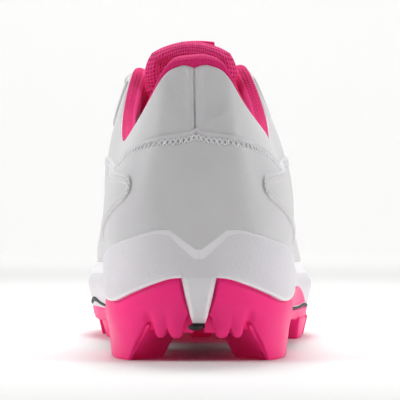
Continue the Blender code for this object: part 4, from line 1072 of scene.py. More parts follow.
def label_sections():
    """A rounded tape profile, thin and tall, carried across the tongue's top."""
    width, thick, height = LABEL_SIZE
    last = len(tongue_face) - 1
    centre = TONGUE_COLUMNS // 2
    top = tongue_face[last, centre]
    down = unit(tongue_face[last - 40, centre] - top)
    face = tongue_normal[last - 14, centre]
    turn = np.linspace(0, 2 * np.pi, 40, endpoint=False)
    run = 0.5 * height * (1 - squared_off(np.cos(turn), 0.35))
    out = 0.2 + 0.5 * thick + 0.5 * thick * squared_off(np.sin(turn), 0.5) + LABEL_LEAN * run
    profile = top + down * LABEL_DROP + down * run[:, None] + face * (out[:, None] + FIT_GAP)
    across = np.linspace(-0.5, 0.5, 31) * width
    size = quarter_round((0.5 * width - np.abs(across)) / LABEL_ROUND)[:, None, None]
    middle = profile.mean(axis=0)
    bow = -LABEL_BOW * across**2
    shift = np.stack([across + LABEL_ASIDE, 0 * across, bow], axis=-1)[:, None]
    return middle + (profile - middle)[None] * (0.6 + 0.4 * size) * np.where(size > 0, 1, 0) + shift


label_weave = knit_finish("label_weave", 0.7, 1.0, 0.12, light=(0.92, 0.07, 0.30), deep=(0.75, 0.02, 0.18))
sections = label_sections()
make_piece("tongue_label_tape", [sections], label_weave, "pink_cloth", "tongue_label", [loop_uv(sections)])

# Insole
# A moulded foam footbed under pink cloth, with a raised rim at the heel and along the arch. It lies loose
# in the cup, inside the upper's wall.
INSOLE_THICK = 4.0
INSOLE_DISH = 1.6
INSOLE_COLUMNS = 41


def opposite(outer):
    """Places on the inner side, as far along as places on the outer side are from heel to toe."""
    return ROUND - outer / PLACE["toe_tip"] * (ROUND - PLACE["toe_tip"])


def ruled(outer, inner, side):
    """Plan points on straight lines from the outer edge to the inner edge, at shares of the way."""
    return outer[:, None] * (1 - side)[None, :, None] + inner[:, None] * side[None, :, None]


def insole_sections():
    """Closed sections along the foot: a dished top from side to side and a flat underside."""
    half = stops(0.0, (8.0, 0.5), (PLACE["toe_tip"] - 8, 2.2), (PLACE["toe_tip"], 0.5))

    def edge(places):
        foot, outward = outline(places)
        return foot - outward * (UPPER_WALL + 0.8)

    side = np.linspace(0, 1, INSOLE_COLUMNS)
    plan = ruled(edge(half), edge(opposite(half)), side)
    bed = footbed(plan[..., 1]) + FIT_GAP
    rim = np.abs(2 * side - 1)[None, :]
    dish = INSOLE_DISH * rim**4 * (1 - ease(plan[..., 1], 60, 190))
    top = bed + (INSOLE_THICK - 0.8 + dish) * np.clip(1 - rim**24, 0, 1)**0.5
    return closed_pair(np.dstack([plan, top]), np.dstack([plan, bed]))


insole_cloth = knit_finish("insole_cloth", 0.9, 1.6, 0.10, light=(0.88, 0.06, 0.27), deep=(0.70, 0.025, 0.19))
sections = insole_sections()
make_piece("insole_footbed", [sections], insole_cloth, "pink_cloth", "insole", [loop_uv(sections)])

# Midsole and heel clip
# One white moulding: a foam cup whose rim rises into a notched clip round the heel. The rim and the lower
# lip are bevelled, the clip is finely grained, and a narrow bridge runs down between the rubber halves.
RIM_WIDTH = 0.5
RIM_BEVEL_ROUND = (0.0, 1.8, 5.0, 9.4, 12.0, 20.0, 90.0, 150.0, 240.0, 300.0)
RIM_BEVEL = (3.4, 4.0, 3.2, 2.0, 1.4, 1.2, 1.2, 5.0, 4.4, 2.4)
CUP_WALL = 2.2
SOLE_WIDEST_RISE = 3.6
SOLE_FLARE = 5.4
SOLE_TUCK_HEEL = 4.4
SOLE_TUCK_FOOT = 2.6
HEEL_BLEND = (60.0, 115.0)
BRIDGE_HALF = 5.6
BRIDGE_TAPER = 0.62
HEEL_RUBBER_END = 90.0
HEEL_RUBBER_ROUND = (0.0, BRIDGE_HALF, 9.0, 15.0, 22.5, 32.0, 40.0, 50.0, 64.0, 78.0, 90.0)
HEEL_RUBBER_TOP = (30.2, 30.2, 29.8, 27.7, 24.6, 21.4, 21.6, 23.6, 24.4, 21.6, 17.0)
RUBBER_WALL = 2.6
RUBBER_RECESS = 0.4
CLIP_OVERHANG = 0.7
LIP_BEVEL_RINGS = (34, 36, 46, 49)
RIM_BEVEL_RINGS = (67, 69, 87, 90)
BRIDGE_BULGE = 1.8
BRIDGE_RINGS = (6, 12, 22, 32)
MIDSOLE_ROUNDS = (0.9, 3.0, 0.3, 0.3, 0.4, 3.0, 0.3, 0.3, 0.3, 4.0)


def stepped(at, places, values):
    """Straight runs through a table that differs from point to point: arrays of places and of values."""
    total = values[0] + 0 * at
    for here, ahead, value, next_value in zip(places[:-1], places[1:], values[:-1], values[1:]):
        total = total + np.clip((at - here) / (ahead - here), 0, 1) * (next_value - value)
    return total


def rim_bevel(place):
    """Height of the bevel under the rim: tallest as a facet at the bottom of the notch."""
    return np.interp(np.abs(signed_round(place)), RIM_BEVEL_ROUND, RIM_BEVEL)


def wall_offset(place, height):
    """How far the sole's side stands out from the foot's outline, at a height above the floor."""
    foot, outward = outline(place)
    base, bed, rim = underside(foot[..., 1]), footbed(foot[..., 1]), rim_height(place)
    lip = last_point(place, share_at(place, rim))
    lip_out = np.sum((lip[..., :2] - foot) * outward, axis=-1) + FIT_GAP + CUP_WALL
    tuck = np.interp(np.abs(signed_round(place)), HEEL_BLEND, (SOLE_TUCK_HEEL, SOLE_TUCK_FOOT))
    flare = np.full(tuck.shape, SOLE_FLARE)
    heights = (base - 4.0, base, bed + SOLE_WIDEST_RISE - 2.0, bed + SOLE_WIDEST_RISE, rim - rim_bevel(place))
    offsets = (tuck - 0.6, tuck, flare - 0.2, flare, np.maximum(lip_out, RIM_WIDTH + FIT_GAP + 1.0))
    return stepped(height, heights, offsets)


def side_point(place, height, inset=0.0):
    """A point on the sole's side, set in from its face."""
    foot, outward = outline(place)
    out = wall_offset(place, height) - inset
    return np.concatenate([foot + outward * out[..., None], np.asarray(height)[..., None]], axis=-1)


def tapered(place, height):
    """Places near the back of the heel drawn together towards the floor, so that the bridge narrows."""
    signed = signed_round(place)
    near = np.clip((2.2 * BRIDGE_HALF - np.abs(signed)) / BRIDGE_HALF, 0, 1)
    drop = np.clip((HEEL_RUBBER_TOP[0] - height) / (HEEL_RUBBER_TOP[0] - SOLE_UNDERSIDE[0]), 0, 1)
    return np.mod(signed * (1 - BRIDGE_TAPER * near * drop**1.4), ROUND)


def heel_rubber_top(distance):
    """Height of the heel rubber's top edge under the clip, from its table."""
    return smooth_table(distance, HEEL_RUBBER_ROUND, HEEL_RUBBER_TOP)


def paired_places(heel, toe_count):
    """Places all round, with as many on each side: given heel distances, then even steps to the toe."""
    outer = np.concatenate([heel, np.linspace(heel[-1], PLACE["toe_tip"], toe_count)[1:]])
    inner = np.concatenate([heel, np.linspace(heel[-1], ROUND - PLACE["toe_tip"], toe_count)[1:]])
    return np.concatenate([outer, ROUND - inner[-2:0:-1]])


def corner_arcs(before, corner, after, reach, most, steps):
    """An arc in place of each corner, bent towards it. It starts reach before the corner and ends reach past
    it, or at most that share of the side."""
    ends = []
    for side in (before - corner, after - corner):
        length = np.linalg.norm(side, axis=-1, keepdims=True)
        ends.append(corner + side / length * np.minimum(reach, most * length))
    u = np.linspace(0, 1, steps).reshape(-1, *[1] * corner.ndim)
    return np.moveaxis((1 - u)**2 * ends[0] + 2 * u * (1 - u) * corner + u * u * ends[1], 0, 1)


def rounded_profile(points, radii, per_arc, per_run):
    """A chain of points per column (chain, column, 3) with each inner corner replaced by an arc that starts
    its radius before the corner, and with each straight run divided."""
    reach = np.asarray(radii, float)[:, None, None]
    arcs = list(corner_arcs(points[:-2], points[1:-1], points[2:], reach, 0.45, per_arc))
    starts = [points[0]] + [arc[-1] for arc in arcs]
    ends = [arc[0] for arc in arcs] + [points[-1]]
    w = np.linspace(0, 1, per_run, endpoint=False)[:, None, None]
    runs = [a + w * (b - a) for a, b in zip(starts, ends)]
    chain = [piece for pair in zip(runs, arcs + [points[-1][None]]) for piece in pair]
    return np.concatenate(chain)


def beside_bridge(distance):
    """1 behind the heel rubber, 0 on the bridge and along the foot, with a bevelled corner at the bridge."""
    corner = 0.22 * ease(distance, BRIDGE_HALF - 1.5, BRIDGE_HALF - 0.2)
    corner += 0.78 * ease(distance, BRIDGE_HALF - 0.2, BRIDGE_HALF + 0.15)
    return corner * (1 - ease(distance, HEEL_RUBBER_END - 0.2, HEEL_RUBBER_END + 0.4))


def painted_highlight_marks(places, rows):
    """1 on the smooth bevels and 0 on the grained faces, for each ring and place: the rim's bevel all round,
    the lower lip's bevel over the rubber, and most of the bridge. Where it is 1 the foam is painted lighter
    as a highlight, and is glossier."""
    ring = np.arange(rows)[:, None]
    rim = np.interp(ring, RIM_BEVEL_RINGS, (0, 1, 1, 0))
    distance = np.abs(signed_round(places))
    lip = np.interp(ring, LIP_BEVEL_RINGS, (0, 1, 1, 0)) * beside_bridge(distance)
    on_bridge = 1 - ease(distance, BRIDGE_HALF, BRIDGE_HALF + 1.0)
    return rim + lip + np.interp(ring, BRIDGE_RINGS, (0, 0.8, 0.8, 0)) * on_bridge


def midsole_rings(places):
    """Rings round the shoe from the underside up the side, over the rim and down into the cup."""
    foot_y = SHAPE(places)[:, 1]
    base, bed, rim = underside(foot_y), footbed(foot_y), rim_height(places)
    distance = np.abs(signed_round(places))
    rubber = beside_bridge(distance)
    recess = rubber * (RUBBER_WALL + RUBBER_RECESS + 0.2)
    step = np.maximum(heel_rubber_top(distance) + 0.2, base + 3.0)
    widest = np.maximum(bed + SOLE_WIDEST_RISE, step + 2.2)

    def side(height, inset):
        return side_point(tapered(places, height), height, inset)

    def cup(share, out):
        return last_point(places, share) + last_normal(places, share) * out

    rim_share = share_at(places, rim)
    lip, crest = cup(rim_share, -0.2), cup(rim_share, FIT_GAP + RIM_WIDTH)
    lip[:, 2] = crest[:, 2] = rim
    floor = cup(0.0 * rim_share, FIT_GAP)
    floor[:, 2] = bed
    over = CLIP_OVERHANG * rubber
    bulge = BRIDGE_BULGE * (1 - ease(distance, BRIDGE_HALF - 2.6, BRIDGE_HALF - 0.3))
    chain = np.stack([
        side(base, recess + 1.0), side(base + 1.2, recess - 0.5 * bulge),
        side(base + 0.42 * (step - base), recess - bulge), side(step - 0.01, recess), side(step, -over),
        side(step + 1.0, -over), side(widest, 0 * base), side(rim - rim_bevel(places), 0 * base), crest, lip,
        cup(0.5 * rim_share, FIT_GAP), floor])
    return rounded_profile(chain, MIDSOLE_ROUNDS, per_arc=5, per_run=5)


def capped(rings):
    """Rings plus two more that fold each end flat across the shoe: every place drawn to the middle of itself
    and its partner on the other side."""
    def folded(ring):
        partner = np.roll(ring[::-1], 1, axis=0)
        return 0.5 * (ring + partner)

    return np.concatenate([folded(rings[0])[None], rings, folded(rings[-1])[None]])


def clip_finish():
    """Injected foam skin: a fine leathery grain, duller than the smooth bevels and bridge, which the first
    number of the piece's UV marks. There the colour is painted lighter as a highlight."""
    made, tree, shader = new_finish("white_foam", (0.78, 0.76, 0.80), 0.42, Coat_Weight=0.06,
                                    Coat_Roughness=0.4)
    uv = add_node(tree, "ShaderNodeUVMap", uv_map="UVMap").outputs["UV"]
    marks = add_node(tree, "ShaderNodeSeparateXYZ", {"Vector": uv}).outputs["X"]
    spot = add_node(tree, "ShaderNodeTexCoord").outputs["Object"]
    grain = add_node(tree, "ShaderNodeTexVoronoi", {"Vector": spot, "Scale": 820.0, "Randomness": 1.0},
                     feature="SMOOTH_F1")
    cloud = noise(tree, 35.0, 3.0)
    colour = ramp(tree, cloud, ((0.3, (0.735, 0.712, 0.755)), (0.7, (0.775, 0.754, 0.792))))
    # Painted highlight: the marked bevels and bridge are tinted lighter
    tree.links.new(tinted(tree, colour, (0.90, 0.885, 0.91), marks), shader.inputs["Base Color"])
    tree.links.new(remap(tree, marks, 0.0, 1.0, 0.48, 0.24), shader.inputs["Roughness"])
    add_bump(tree, shader, grain.outputs["Distance"], 0.20, 0.7)
    add_bump(tree, shader, noise(tree, 520.0, 4.0, Distortion=0.6), 0.22, 0.7)
    return made


foam = clip_finish()
heel_stops = stops(0.0, (2.4, 0.3), (3.0, 0.1), (5.0, 0.3), (6.0, 0.07), (9.6, 0.35), (10.6, 0.15),
                   (HEEL_RUBBER_END - 0.5, 0.9), (HEEL_RUBBER_END + 0.7, 0.1))
places = paired_places(heel_stops, 120)
rings = capped(midsole_rings(places))
marks = painted_highlight_marks(np.append(places, places[0]), len(rings))
highlight_uv = np.stack([marks, 0 * marks], axis=-1)
make_piece("midsole_foam", [rings], foam, "white_foam", "midsole", [highlight_uv])

# Plate
# A black nylon plate between midsole and rubber. It shows as a line along the foot, as tabs that turn up
# the side at the ball and in front of the outer heel rubber, and as a nub under the bridge.
PLATE_THICK = 1.9
PLATE_GAP = 0.3
PLATE_LIP = -0.1
PLATE_COLUMNS = 21
PLATE_NUB = (5.4, 2.4)
NUB_HEIGHT = 12.6
NUB_INSET = 2.2
NUB_ASIDE = 1.2
NUB_REACH = 2.4
PATCH_SINK = 0.4
TAB_PROUD = 0.55


def plate_finish():
    """Moulded nylon, near black, with a fine spark-eroded texture."""
    made, tree, shader = new_finish("black_plate", (0.014, 0.014, 0.015), 0.58)
    spark = noise(tree, 1800.0, 3.0)
    colour = ramp(tree, spark, ((0.35, (0.010, 0.010, 0.011)), (0.7, (0.022, 0.021, 0.023))))
    tree.links.new(colour, shader.inputs["Base Color"])
    add_bump(tree, shader, spark, 0.06, 0.6)
    return made


def plate_sections():
    """Closed sections along the foot: from side to side under the midsole, with rounded edges."""
    half = stops(0.0, (3.0, 0.4), (93.0, 2.0), (PLACE["toe_tip"] - 4, 2.4), (PLACE["toe_tip"], 0.5))
    inset = np.interp(half, (0.0, 1.3, 2.6, 88.0, 92.0), (2.4, 2.4, 4.3, 4.3, -PLATE_LIP))

    def edge(places):
        foot, outward = outline(places)
        out = wall_offset(places, underside(foot[:, 1])) - inset
        return foot + outward * out[:, None]

    side = crowded(PLATE_COLUMNS)
    plan = ruled(edge(half), edge(opposite(half)), side)
    middle = underside(plan[..., 1]) - 0.05 - 0.5 * PLATE_THICK
    swell = 0.5 * PLATE_THICK * np.clip(1 - np.abs(2 * side - 1)**60, 0, 1)[None, :]**0.5
    return closed_pair(np.dstack([plan, middle + swell]), np.dstack([plan, middle - swell]))


def side_patch(places, low, high, proud, roll=0.5, rows=20):
    """A low pad on the sole's side between two edges, standing proud and rolled down all round."""
    t = crowded(rows)
    height = low[:, None] + t * (high - low)[:, None]
    run = np.abs(signed_round(places) - signed_round(places[:1]))
    from_end = np.minimum(run, run[-1] - run)[:, None]
    nearest = np.minimum(np.minimum(height - low[:, None], high[:, None] - height), from_end)
    out = (proud + PATCH_SINK) * quarter_round(nearest / roll) - PATCH_SINK
    at = np.broadcast_to(places[:, None], height.shape)
    back = side_point(at, height, np.full(height.shape, PATCH_SINK))
    return closed_pair(side_point(at, height, -out), back)


def tab_rows(side, rows):
    """A tab's places and edges from rows of (distance round, lower height, upper height)."""
    distance, low, high = np.array(rows).T
    fine = stops(distance[0], (distance[0] + 1.0, 0.15), (distance[-1] - 1.0, 0.8), (distance[-1], 0.15))
    return on_side(side, fine), smooth_table(fine, distance, low), smooth_table(fine, distance, high)


def plate_nub():
    """The plate's rounded end under the bridge: a squashed half ball."""
    half_width, half_height = 0.5 * PLATE_NUB[0], 0.5 * PLATE_NUB[1]
    turn = np.linspace(0, 2 * np.pi, 28, endpoint=False)[None, :]
    rise = np.linspace(0, np.pi, 13)[:, None]
    centre = side_point(np.zeros(1), np.array([NUB_HEIGHT]), NUB_INSET)[0]
    return np.stack([centre[0] - NUB_ASIDE + half_width * np.sin(rise) * np.cos(turn),
                     centre[1] + 0 * turn - NUB_REACH * np.cos(rise),
                     centre[2] + half_height * np.sin(rise) * np.sin(turn)], axis=-1)


# Tabs, each row: distance round from the back of the heel, lower edge and upper edge above the floor
HEEL_FRONT_TAB = ((87.0, 11.5, 19.0), (88.5, 11.8, 21.2), (90.0, 12.2, 22.2), (92.5, 13.0, 21.0))
BALL_TAB_OUTER = ((118.0, 14.6, 15.7), (140.0, 13.4, 14.5), (160.0, 13.2, 14.4), (174.0, 13.4, 15.2),
                  (190.0, 12.8, 13.8))
BALL_TAB_INNER = ((112.0, 14.6, 15.6), (130.0, 13.8, 14.8), (150.0, 13.4, 14.6), (170.0, 14.2, 15.8),
                  (184.0, 15.4, 17.6), (197.0, 14.0, 15.6), (212.0, 12.6, 13.7))
nylon = plate_finish()
tabs = [side_patch(*tab_rows(side, rows), TAB_PROUD)
        for side, rows in ((1.0, HEEL_FRONT_TAB), (1.0, BALL_TAB_OUTER), (-1.0, BALL_TAB_INNER))]
make_piece("plate_nylon", [plate_sections(), plate_nub(), *tabs], nylon, "black_plate", "plate")

# Heel rubber
# Two halves of hot-pink moulded rubber, one each side of the bridge. A wall wraps up under the clip; below
# it runs down into a corner stud, a front stud and a pair of small teeth, over a thin sheet.
RUBBER_SHEET = 1.6
HEEL_SHEET_WIDTH = 19.0
STUD_LEAN = 1.8
TOE_SPRING_FROM = 205.0
# The wall's lower edge: distance round from the back, height above the floor
HEEL_EDGE = ((5.6, 17.6), (7.2, 16.4), (8.1, 12.8), (8.6, 9.7), (9.1, 8.8), (10.6, 8.8), (11.1, 9.7),
             (11.6, 12.3), (12.1, 9.7), (12.6, 8.8), (14.4, 8.8), (15.0, 9.7), (15.7, 13.2), (16.4, 14.2),
             (17.6, 14.2), (18.6, 13.2), (26.8, 0.0), (51.0, 0.0), (54.0, 12.0), (56.0, 12.6),
             (67.0, 12.6), (68.4, 11.6), (71.0, 0.0), (83.0, 0.0), (85.6, 11.6), (87.0, 12.8), (90.0, 13.4))
# Forms of the wall's face: how far each stands out or in
WALL_SWELL = 0.55
WALL_TUCK = 1.5
WALL_LEAN = 0.9
WALL_TOE_IN = 0.5
WALL_UNDER_LIP = 0.9
BRIDGE_ROUND = 0.9
# The valley between teeth and corner stud, a bell: depth, distance round from the back and width
WALL_VALLEY = (0.9, 17.0, 1.4)
TOOTH_SPANS = ((8.0, 11.5), (11.7, 15.6))
TOOTH_TOP = 17.0
TOOTH_PUFF = 0.7
TOOTH_DEPTH = 7.0
WEB_ROUND = (2.0, 8.2, 9.0, 15.4, 16.4, 20.4)
WEB_LOW = (10.6, 10.6, 12.0, 12.0, 11.4, 11.4)
WEB_TOP = 18.0
HEEL_CORNER_FOOT = np.array([17.0, 26.0, 34.0, 44.0, 54.0])
HEEL_CORNER_TIP = np.array([26.9, 31.0, 37.0, 44.0, 50.8])
HEEL_CORNER_INNER_FOOT = np.array([6.5, 40.0])
HEEL_CORNER_INNER_TIP = np.array([13.0, 36.0])
# A stud on the outline: where its foot starts and ends, and how much shorter its tip is at both ends
HEEL_FRONT_STUD = (68.0, 86.0, 3.0)
HEEL_FRONT_DEPTH = 13.0
STUD_TIP_DEPTH = 9.5


def rubber_finish(name, colour):
    """Moulded rubber: a satin skin with faint flow marks, and a bloom that dulls the gloss in patches. A
    painted glow, an emission, gives back a little more red than falls on it."""
    made, tree, shader = new_finish(name, colour, 0.42, Specular_IOR_Level=0.22,
                                    Emission_Strength=PAINTED_GLOW)
    shader.inputs["Emission Color"].default_value = PAINTED_GLOW_RED
    bloom = noise(tree, 70.0, 4.0)
    deep = tuple(0.93 * part for part in colour)
    tree.links.new(ramp(tree, bloom, ((0.35, deep), (0.65, colour))), shader.inputs["Base Color"])
    tree.links.new(remap(tree, bloom, 0.3, 0.7, 0.36, 0.50), shader.inputs["Roughness"])
    add_bump(tree, shader, noise(tree, 2200.0, 2.0), 0.03, 0.5)
    return made


pink_rubber = rubber_finish("pink_rubber", (1.0, 0.030, 0.245))


def heel_edge(distance):
    """Height of the wall's lower edge: straight runs through its table."""
    at, height = np.array(HEEL_EDGE).T
    return np.interp(distance, at, height)


def closed_ends(sections):
    """Sections along a path with one more at each end, drawn to the end section's middle point."""
    first, last = sections[:1].mean(axis=1, keepdims=True), sections[-1:].mean(axis=1, keepdims=True)
    return np.concatenate([first + 0 * sections[:1], sections, last + 0 * sections[-1:]])


def rubber_wall(side, start, end, thick, rows=34):
    """A wall of rubber hanging from the clip to its own lower edge: closed sections down the outer face,
    round the bottom and up the back. The face swells below the clip, and tucks in again by the bridge."""
    distance = stops(start, (end, 0.3))
    top, low = heel_rubber_top(distance) + 0.5, heel_edge(distance)
    t = np.linspace(0, 1, rows)
    height = top[:, None] + t * (low - top)[:, None]
    at = np.broadcast_to(distance[:, None], height.shape)
    swell = WALL_SWELL * np.sin(np.pi * np.clip((height - 12) / (top[:, None] - 12), 0, 1))
    tuck = WALL_TUCK * ease(-height, -21.0, -12.0) * (1 - ease(at, 15.0, 24.0))
    lean = WALL_LEAN * ease(-height, -11.0, 0.0)
    valley = WALL_VALLEY[0] * bell(at, *WALL_VALLEY[1:]) * ease(-height, -20.5, -14.5)
    puff = sum(np.sqrt(np.clip(1 - ((at - 0.5 * (a + b)) / (0.5 * (b - a)))**2, 0, 1))
               for a, b in TOOTH_SPANS)
    tooth = TOOTH_PUFF * puff * ease(-height, -20.0, -12.5)
    toe_in = WALL_TOE_IN * np.clip(1 - (height - low[:, None]) / 0.6, 0, 1)**2
    under_lip = WALL_UNDER_LIP * np.exp((height - top[:, None]) / 1.6)
    inset = RUBBER_RECESS + under_lip - swell + tuck + lean + valley - tooth + toe_in
    bridge_end = BRIDGE_ROUND * (1 - quarter_round((at - start) / BRIDGE_ROUND))
    places = tapered(on_side(side, at), np.maximum(height, TOOTH_TOP))
    shift = np.mod(places + side * 0.25 * (at < BRIDGE_HALF + 0.5), ROUND)
    face = side_point(shift, height, inset + bridge_end)
    back_height = np.maximum(height[:, ::-1], low[:, None] + 0.2)
    back = side_point(places[:, ::-1], back_height, inset[:, ::-1] + thick)
    return closed_ends(np.concatenate([face, back], axis=1))


def tooth_back(side):
    """The web behind the teeth: a closed strip from the bridge to the corner stud, lowest by the bridge."""
    distance = stops(WEB_ROUND[0], (WEB_ROUND[-1], 0.3))
    places = on_side(side, distance)
    top, low = np.full(len(places), WEB_TOP), np.interp(distance, WEB_ROUND, WEB_LOW)
    rows = ((top, 2.6), (low + 1.2, 2.8), (low, 3.6), (low, TOOTH_DEPTH), (top, TOOTH_DEPTH))
    strips = [side_point(places, height, np.full(len(places), inset)) for height, inset in rows]
    return closed_ends(np.stack(strips, axis=1))


def rounded_polygon(points, radius, steps=5):
    """A closed polygon (corner, 2 or 3) with each corner replaced by an arc of points."""
    before, after = np.roll(points, 1, axis=0), np.roll(points, -1, axis=0)
    return corner_arcs(before, points, after, radius, 0.4, steps).reshape(-1, points.shape[1])


def stud_grid(foot, tip, foot_z, tip_z, radius=1.1):
    """A moulded stud from its foot outline to its tip: straight flanks that flare a little at the foot, and
    a flat tip with a rounded edge. Both ends close to a point in the middle."""
    foot_ring = rounded_polygon(np.column_stack([foot, foot_z * np.ones(len(foot))]), radius)
    tip_ring = rounded_polygon(np.column_stack([tip, np.full(len(tip), tip_z)]), radius)
    t = np.linspace(0, 1, 14)[:, None, None]
    flare = t - 0.10 * (1 - t)**3 * t * 4
    flank = foot_ring + (tip_ring - foot_ring) * flare
    flank[..., 2] = (foot_ring + (tip_ring - foot_ring) * t)[..., 2]
    flank[-1, :, 2] += 0.55
    middle, foot_middle = tip_ring.mean(axis=0), foot_ring.mean(axis=0)
    reach = np.linalg.norm(tip_ring - middle, axis=1, keepdims=True)

    def floor_ring(inset, lift):
        return middle + (tip_ring - middle) * (1 - inset / reach) + np.array([0, 0, lift])

    floor = np.stack([floor_ring(0.12, 0.22), floor_ring(0.4, 0.04), floor_ring(0.7, 0.0),
                      floor_ring(0.5 * reach, 0.0), middle + 0 * tip_ring])
    return np.concatenate([(foot_middle + 0 * foot_ring)[None], flank, floor])


def side_plan(places, inset):
    """Plan points on the sole's side at its underside, set in from the face."""
    places = np.asarray(places, float)
    return side_point(places, underside(outline(places)[0][:, 1]), inset)[:, :2]


def toe_lift(y):
    """How far a stud's tip is off the floor, where the sole springs up to the toe."""
    return float(underside(max(y, TOE_SPRING_FROM)) - underside(TOE_SPRING_FROM))


def side_stud(side, span, depth, set_in, drop):
    """A stud flush with the sole's side, from its span round the outline and its depth at the foot."""
    start, end, trim = span

    def corners(start, end, inset, depth):
        places = on_side(side, np.array([start, 0.5 * (start + end), end]))
        return np.concatenate([side_plan(places, inset), side_plan(places, inset + depth)[::-1]])

    foot = corners(start, end, set_in, depth)
    tip = corners(start + trim, end - trim, set_in + STUD_LEAN, STUD_TIP_DEPTH)
    return stud_grid(foot, tip, underside(foot[:, 1]) - drop, toe_lift(tip[:, 1].mean()))


def slab_sections(outer, inner, top, thick, bevel=0.5):
    """Closed sections of a thin sheet between two edges in plan, with its four corners cut."""
    across = unit(inner - outer)
    rows = ((outer, bevel, 0.0), (inner, -bevel, 0.0), (inner, 0.0, bevel), (inner, 0.0, thick - bevel),
            (inner, -bevel, thick), (outer, bevel, thick), (outer, 0.0, thick - bevel), (outer, 0.0, bevel))
    return closed_ends(np.stack([np.column_stack([edge + across * move, top - drop])
                                 for edge, move, drop in rows], axis=1))


def heel_half(side):
    """All the shells of one half: outer wall, tooth backs, corner stud, front stud and sheet."""
    flip = np.array([side, 1.0])
    distance = stops(6.2, (89.4, 1.2))
    places = on_side(side, distance)
    drop = PLATE_THICK + 2 * PLATE_GAP
    foot, outward = outline(places)
    base = underside(foot[:, 1]) - drop
    set_in = RUBBER_RECESS + 1.6 + 8.0 * (1 - ease(distance, 20.0, 26.0))
    sheet = slab_sections(side_plan(places, set_in), foot - outward * HEEL_SHEET_WIDTH, base, RUBBER_SHEET)
    corner_foot = np.vstack([side_plan(on_side(side, HEEL_CORNER_FOOT), RUBBER_RECESS + 1.3),
                             HEEL_CORNER_INNER_FOOT * flip])
    corner_tip = np.vstack([side_plan(on_side(side, HEEL_CORNER_TIP), RUBBER_RECESS + 1.9),
                            HEEL_CORNER_INNER_TIP * flip])
    corner = stud_grid(corner_foot, corner_tip, base.min() + 2.2, 0.0, radius=0.8)
    front = side_stud(side, HEEL_FRONT_STUD, HEEL_FRONT_DEPTH, RUBBER_RECESS + 1.0, drop + 0.4)
    wall = rubber_wall(side, BRIDGE_HALF, HEEL_RUBBER_END, RUBBER_WALL - 0.6)
    return [wall, tooth_back(side), corner, front, sheet]


for side_name, side in (("outer", 1.0), ("inner", -1.0)):
    make_piece(f"heel_rubber_{side_name}_moulding", heel_half(side), pink_rubber, "pink_rubber",
               f"heel_rubber_{side_name}")

# Forefoot rubber
# A hot-pink rubber sheet under the ball and toes with moulded studs: three down each side and four between,
# and on the outer side a pink wedge that fills the arch between plate and midsole.
FOREFOOT_START = 128.0
FOREFOOT_STUD_DEPTH = 14.0
# Studs on the outline: side, how far set in, and their spans
FOREFOOT_SIDES = ((1.0, -0.9, ((161.0, 181.0, 3.5), (195.0, 215.0, 3.5), (230.0, 248.0, 3.0))),
                  (-1.0, 1.8, ((166.0, 186.0, 3.5), (201.0, 221.0, 3.5), (235.0, 253.0, 3.0))))
# Studs inside the outline: x, y, length along the foot, width, turn in degrees
FOREFOOT_STUDS = ((11.0, 250.0, 15.0, 12.0, 42.0), (-21.0, 252.0, 15.0, 12.0, -36.0),
                  (1.0, 176.0, 15.0, 13.0, 0.0), (-2.0, 214.0, 15.0, 13.0, 0.0))
STUD_TAPER = 0.66
# Wedge and band, each row: distance round, lower edge and upper edge above the floor
ARCH_WEDGE = ((92.5, 15.8, 21.5), (97.0, 16.4, 24.4), (104.0, 16.6, 24.0), (125.0, 15.6, 23.4),
              (146.0, 14.9, 23.0), (160.0, 14.7, 20.4), (172.0, 15.3, 16.4))
BALL_BAND = ((126.0, 10.6, 13.6), (150.0, 9.0, 13.2), (184.0, 8.8, 13.4), (215.0, 9.2, 12.6))


def chevron(x, y, length, width, turn, scale):
    """Plan points of a forefoot stud: a block with a pointed front and a notched back."""
    half_l, half_w = 0.5 * length * scale, 0.5 * width * scale
    points = np.array([(-half_w, -half_l), (0.0, -0.72 * half_l), (half_w, -half_l),
                       (half_w, 0.55 * half_l), (0.0, half_l), (-half_w, 0.55 * half_l)])
    angle = np.radians(turn)
    spin = np.array([[np.cos(angle), -np.sin(angle)], [np.sin(angle), np.cos(angle)]])
    return points @ spin.T + (x, y)


def forefoot_sheet():
    """The sheet's sections from the arch to the toe, each from the outer edge to the inner edge."""
    fine = np.linspace(0, 250, 500)
    start_out = np.interp(FOREFOOT_START, SHAPE(fine)[:, 1], fine)
    start_in = np.interp(FOREFOOT_START, SHAPE(ROUND - fine)[:, 1], fine)
    outer = stops(start_out, (PLACE["toe_tip"] - 0.3, 1.8))
    inner = ROUND - np.linspace(start_in, ROUND - PLACE["toe_tip"] - 0.3, len(outer))
    out_edge, in_edge = side_plan(outer, RUBBER_RECESS), side_plan(inner, RUBBER_RECESS)
    top = underside(0.5 * (out_edge + in_edge)[:, 1]) - PLATE_THICK - PLATE_GAP
    return slab_sections(out_edge, in_edge, top, RUBBER_SHEET + PLATE_GAP)


drop = PLATE_THICK + 2 * PLATE_GAP + 0.4
studs = [side_stud(side, span, FOREFOOT_STUD_DEPTH, set_in, drop)
         for side, set_in, spans in FOREFOOT_SIDES for span in spans]
for x, y, length, width, turn in FOREFOOT_STUDS:
    foot, tip = (chevron(x, y, length, width, turn, scale) for scale in (1.0, STUD_TAPER))
    studs.append(stud_grid(foot, tip, underside(foot[:, 1]) - drop, toe_lift(y)))
wedge = side_patch(*tab_rows(1.0, ARCH_WEDGE), 0.5, roll=0.7)
bands = [side_patch(*tab_rows(side, BALL_BAND), 0.4) for side in (1.0, -1.0)]
make_piece("forefoot_rubber_moulding", [forefoot_sheet(), wedge, *bands, *studs], pink_rubber, "pink_rubber",
           "forefoot_rubber")

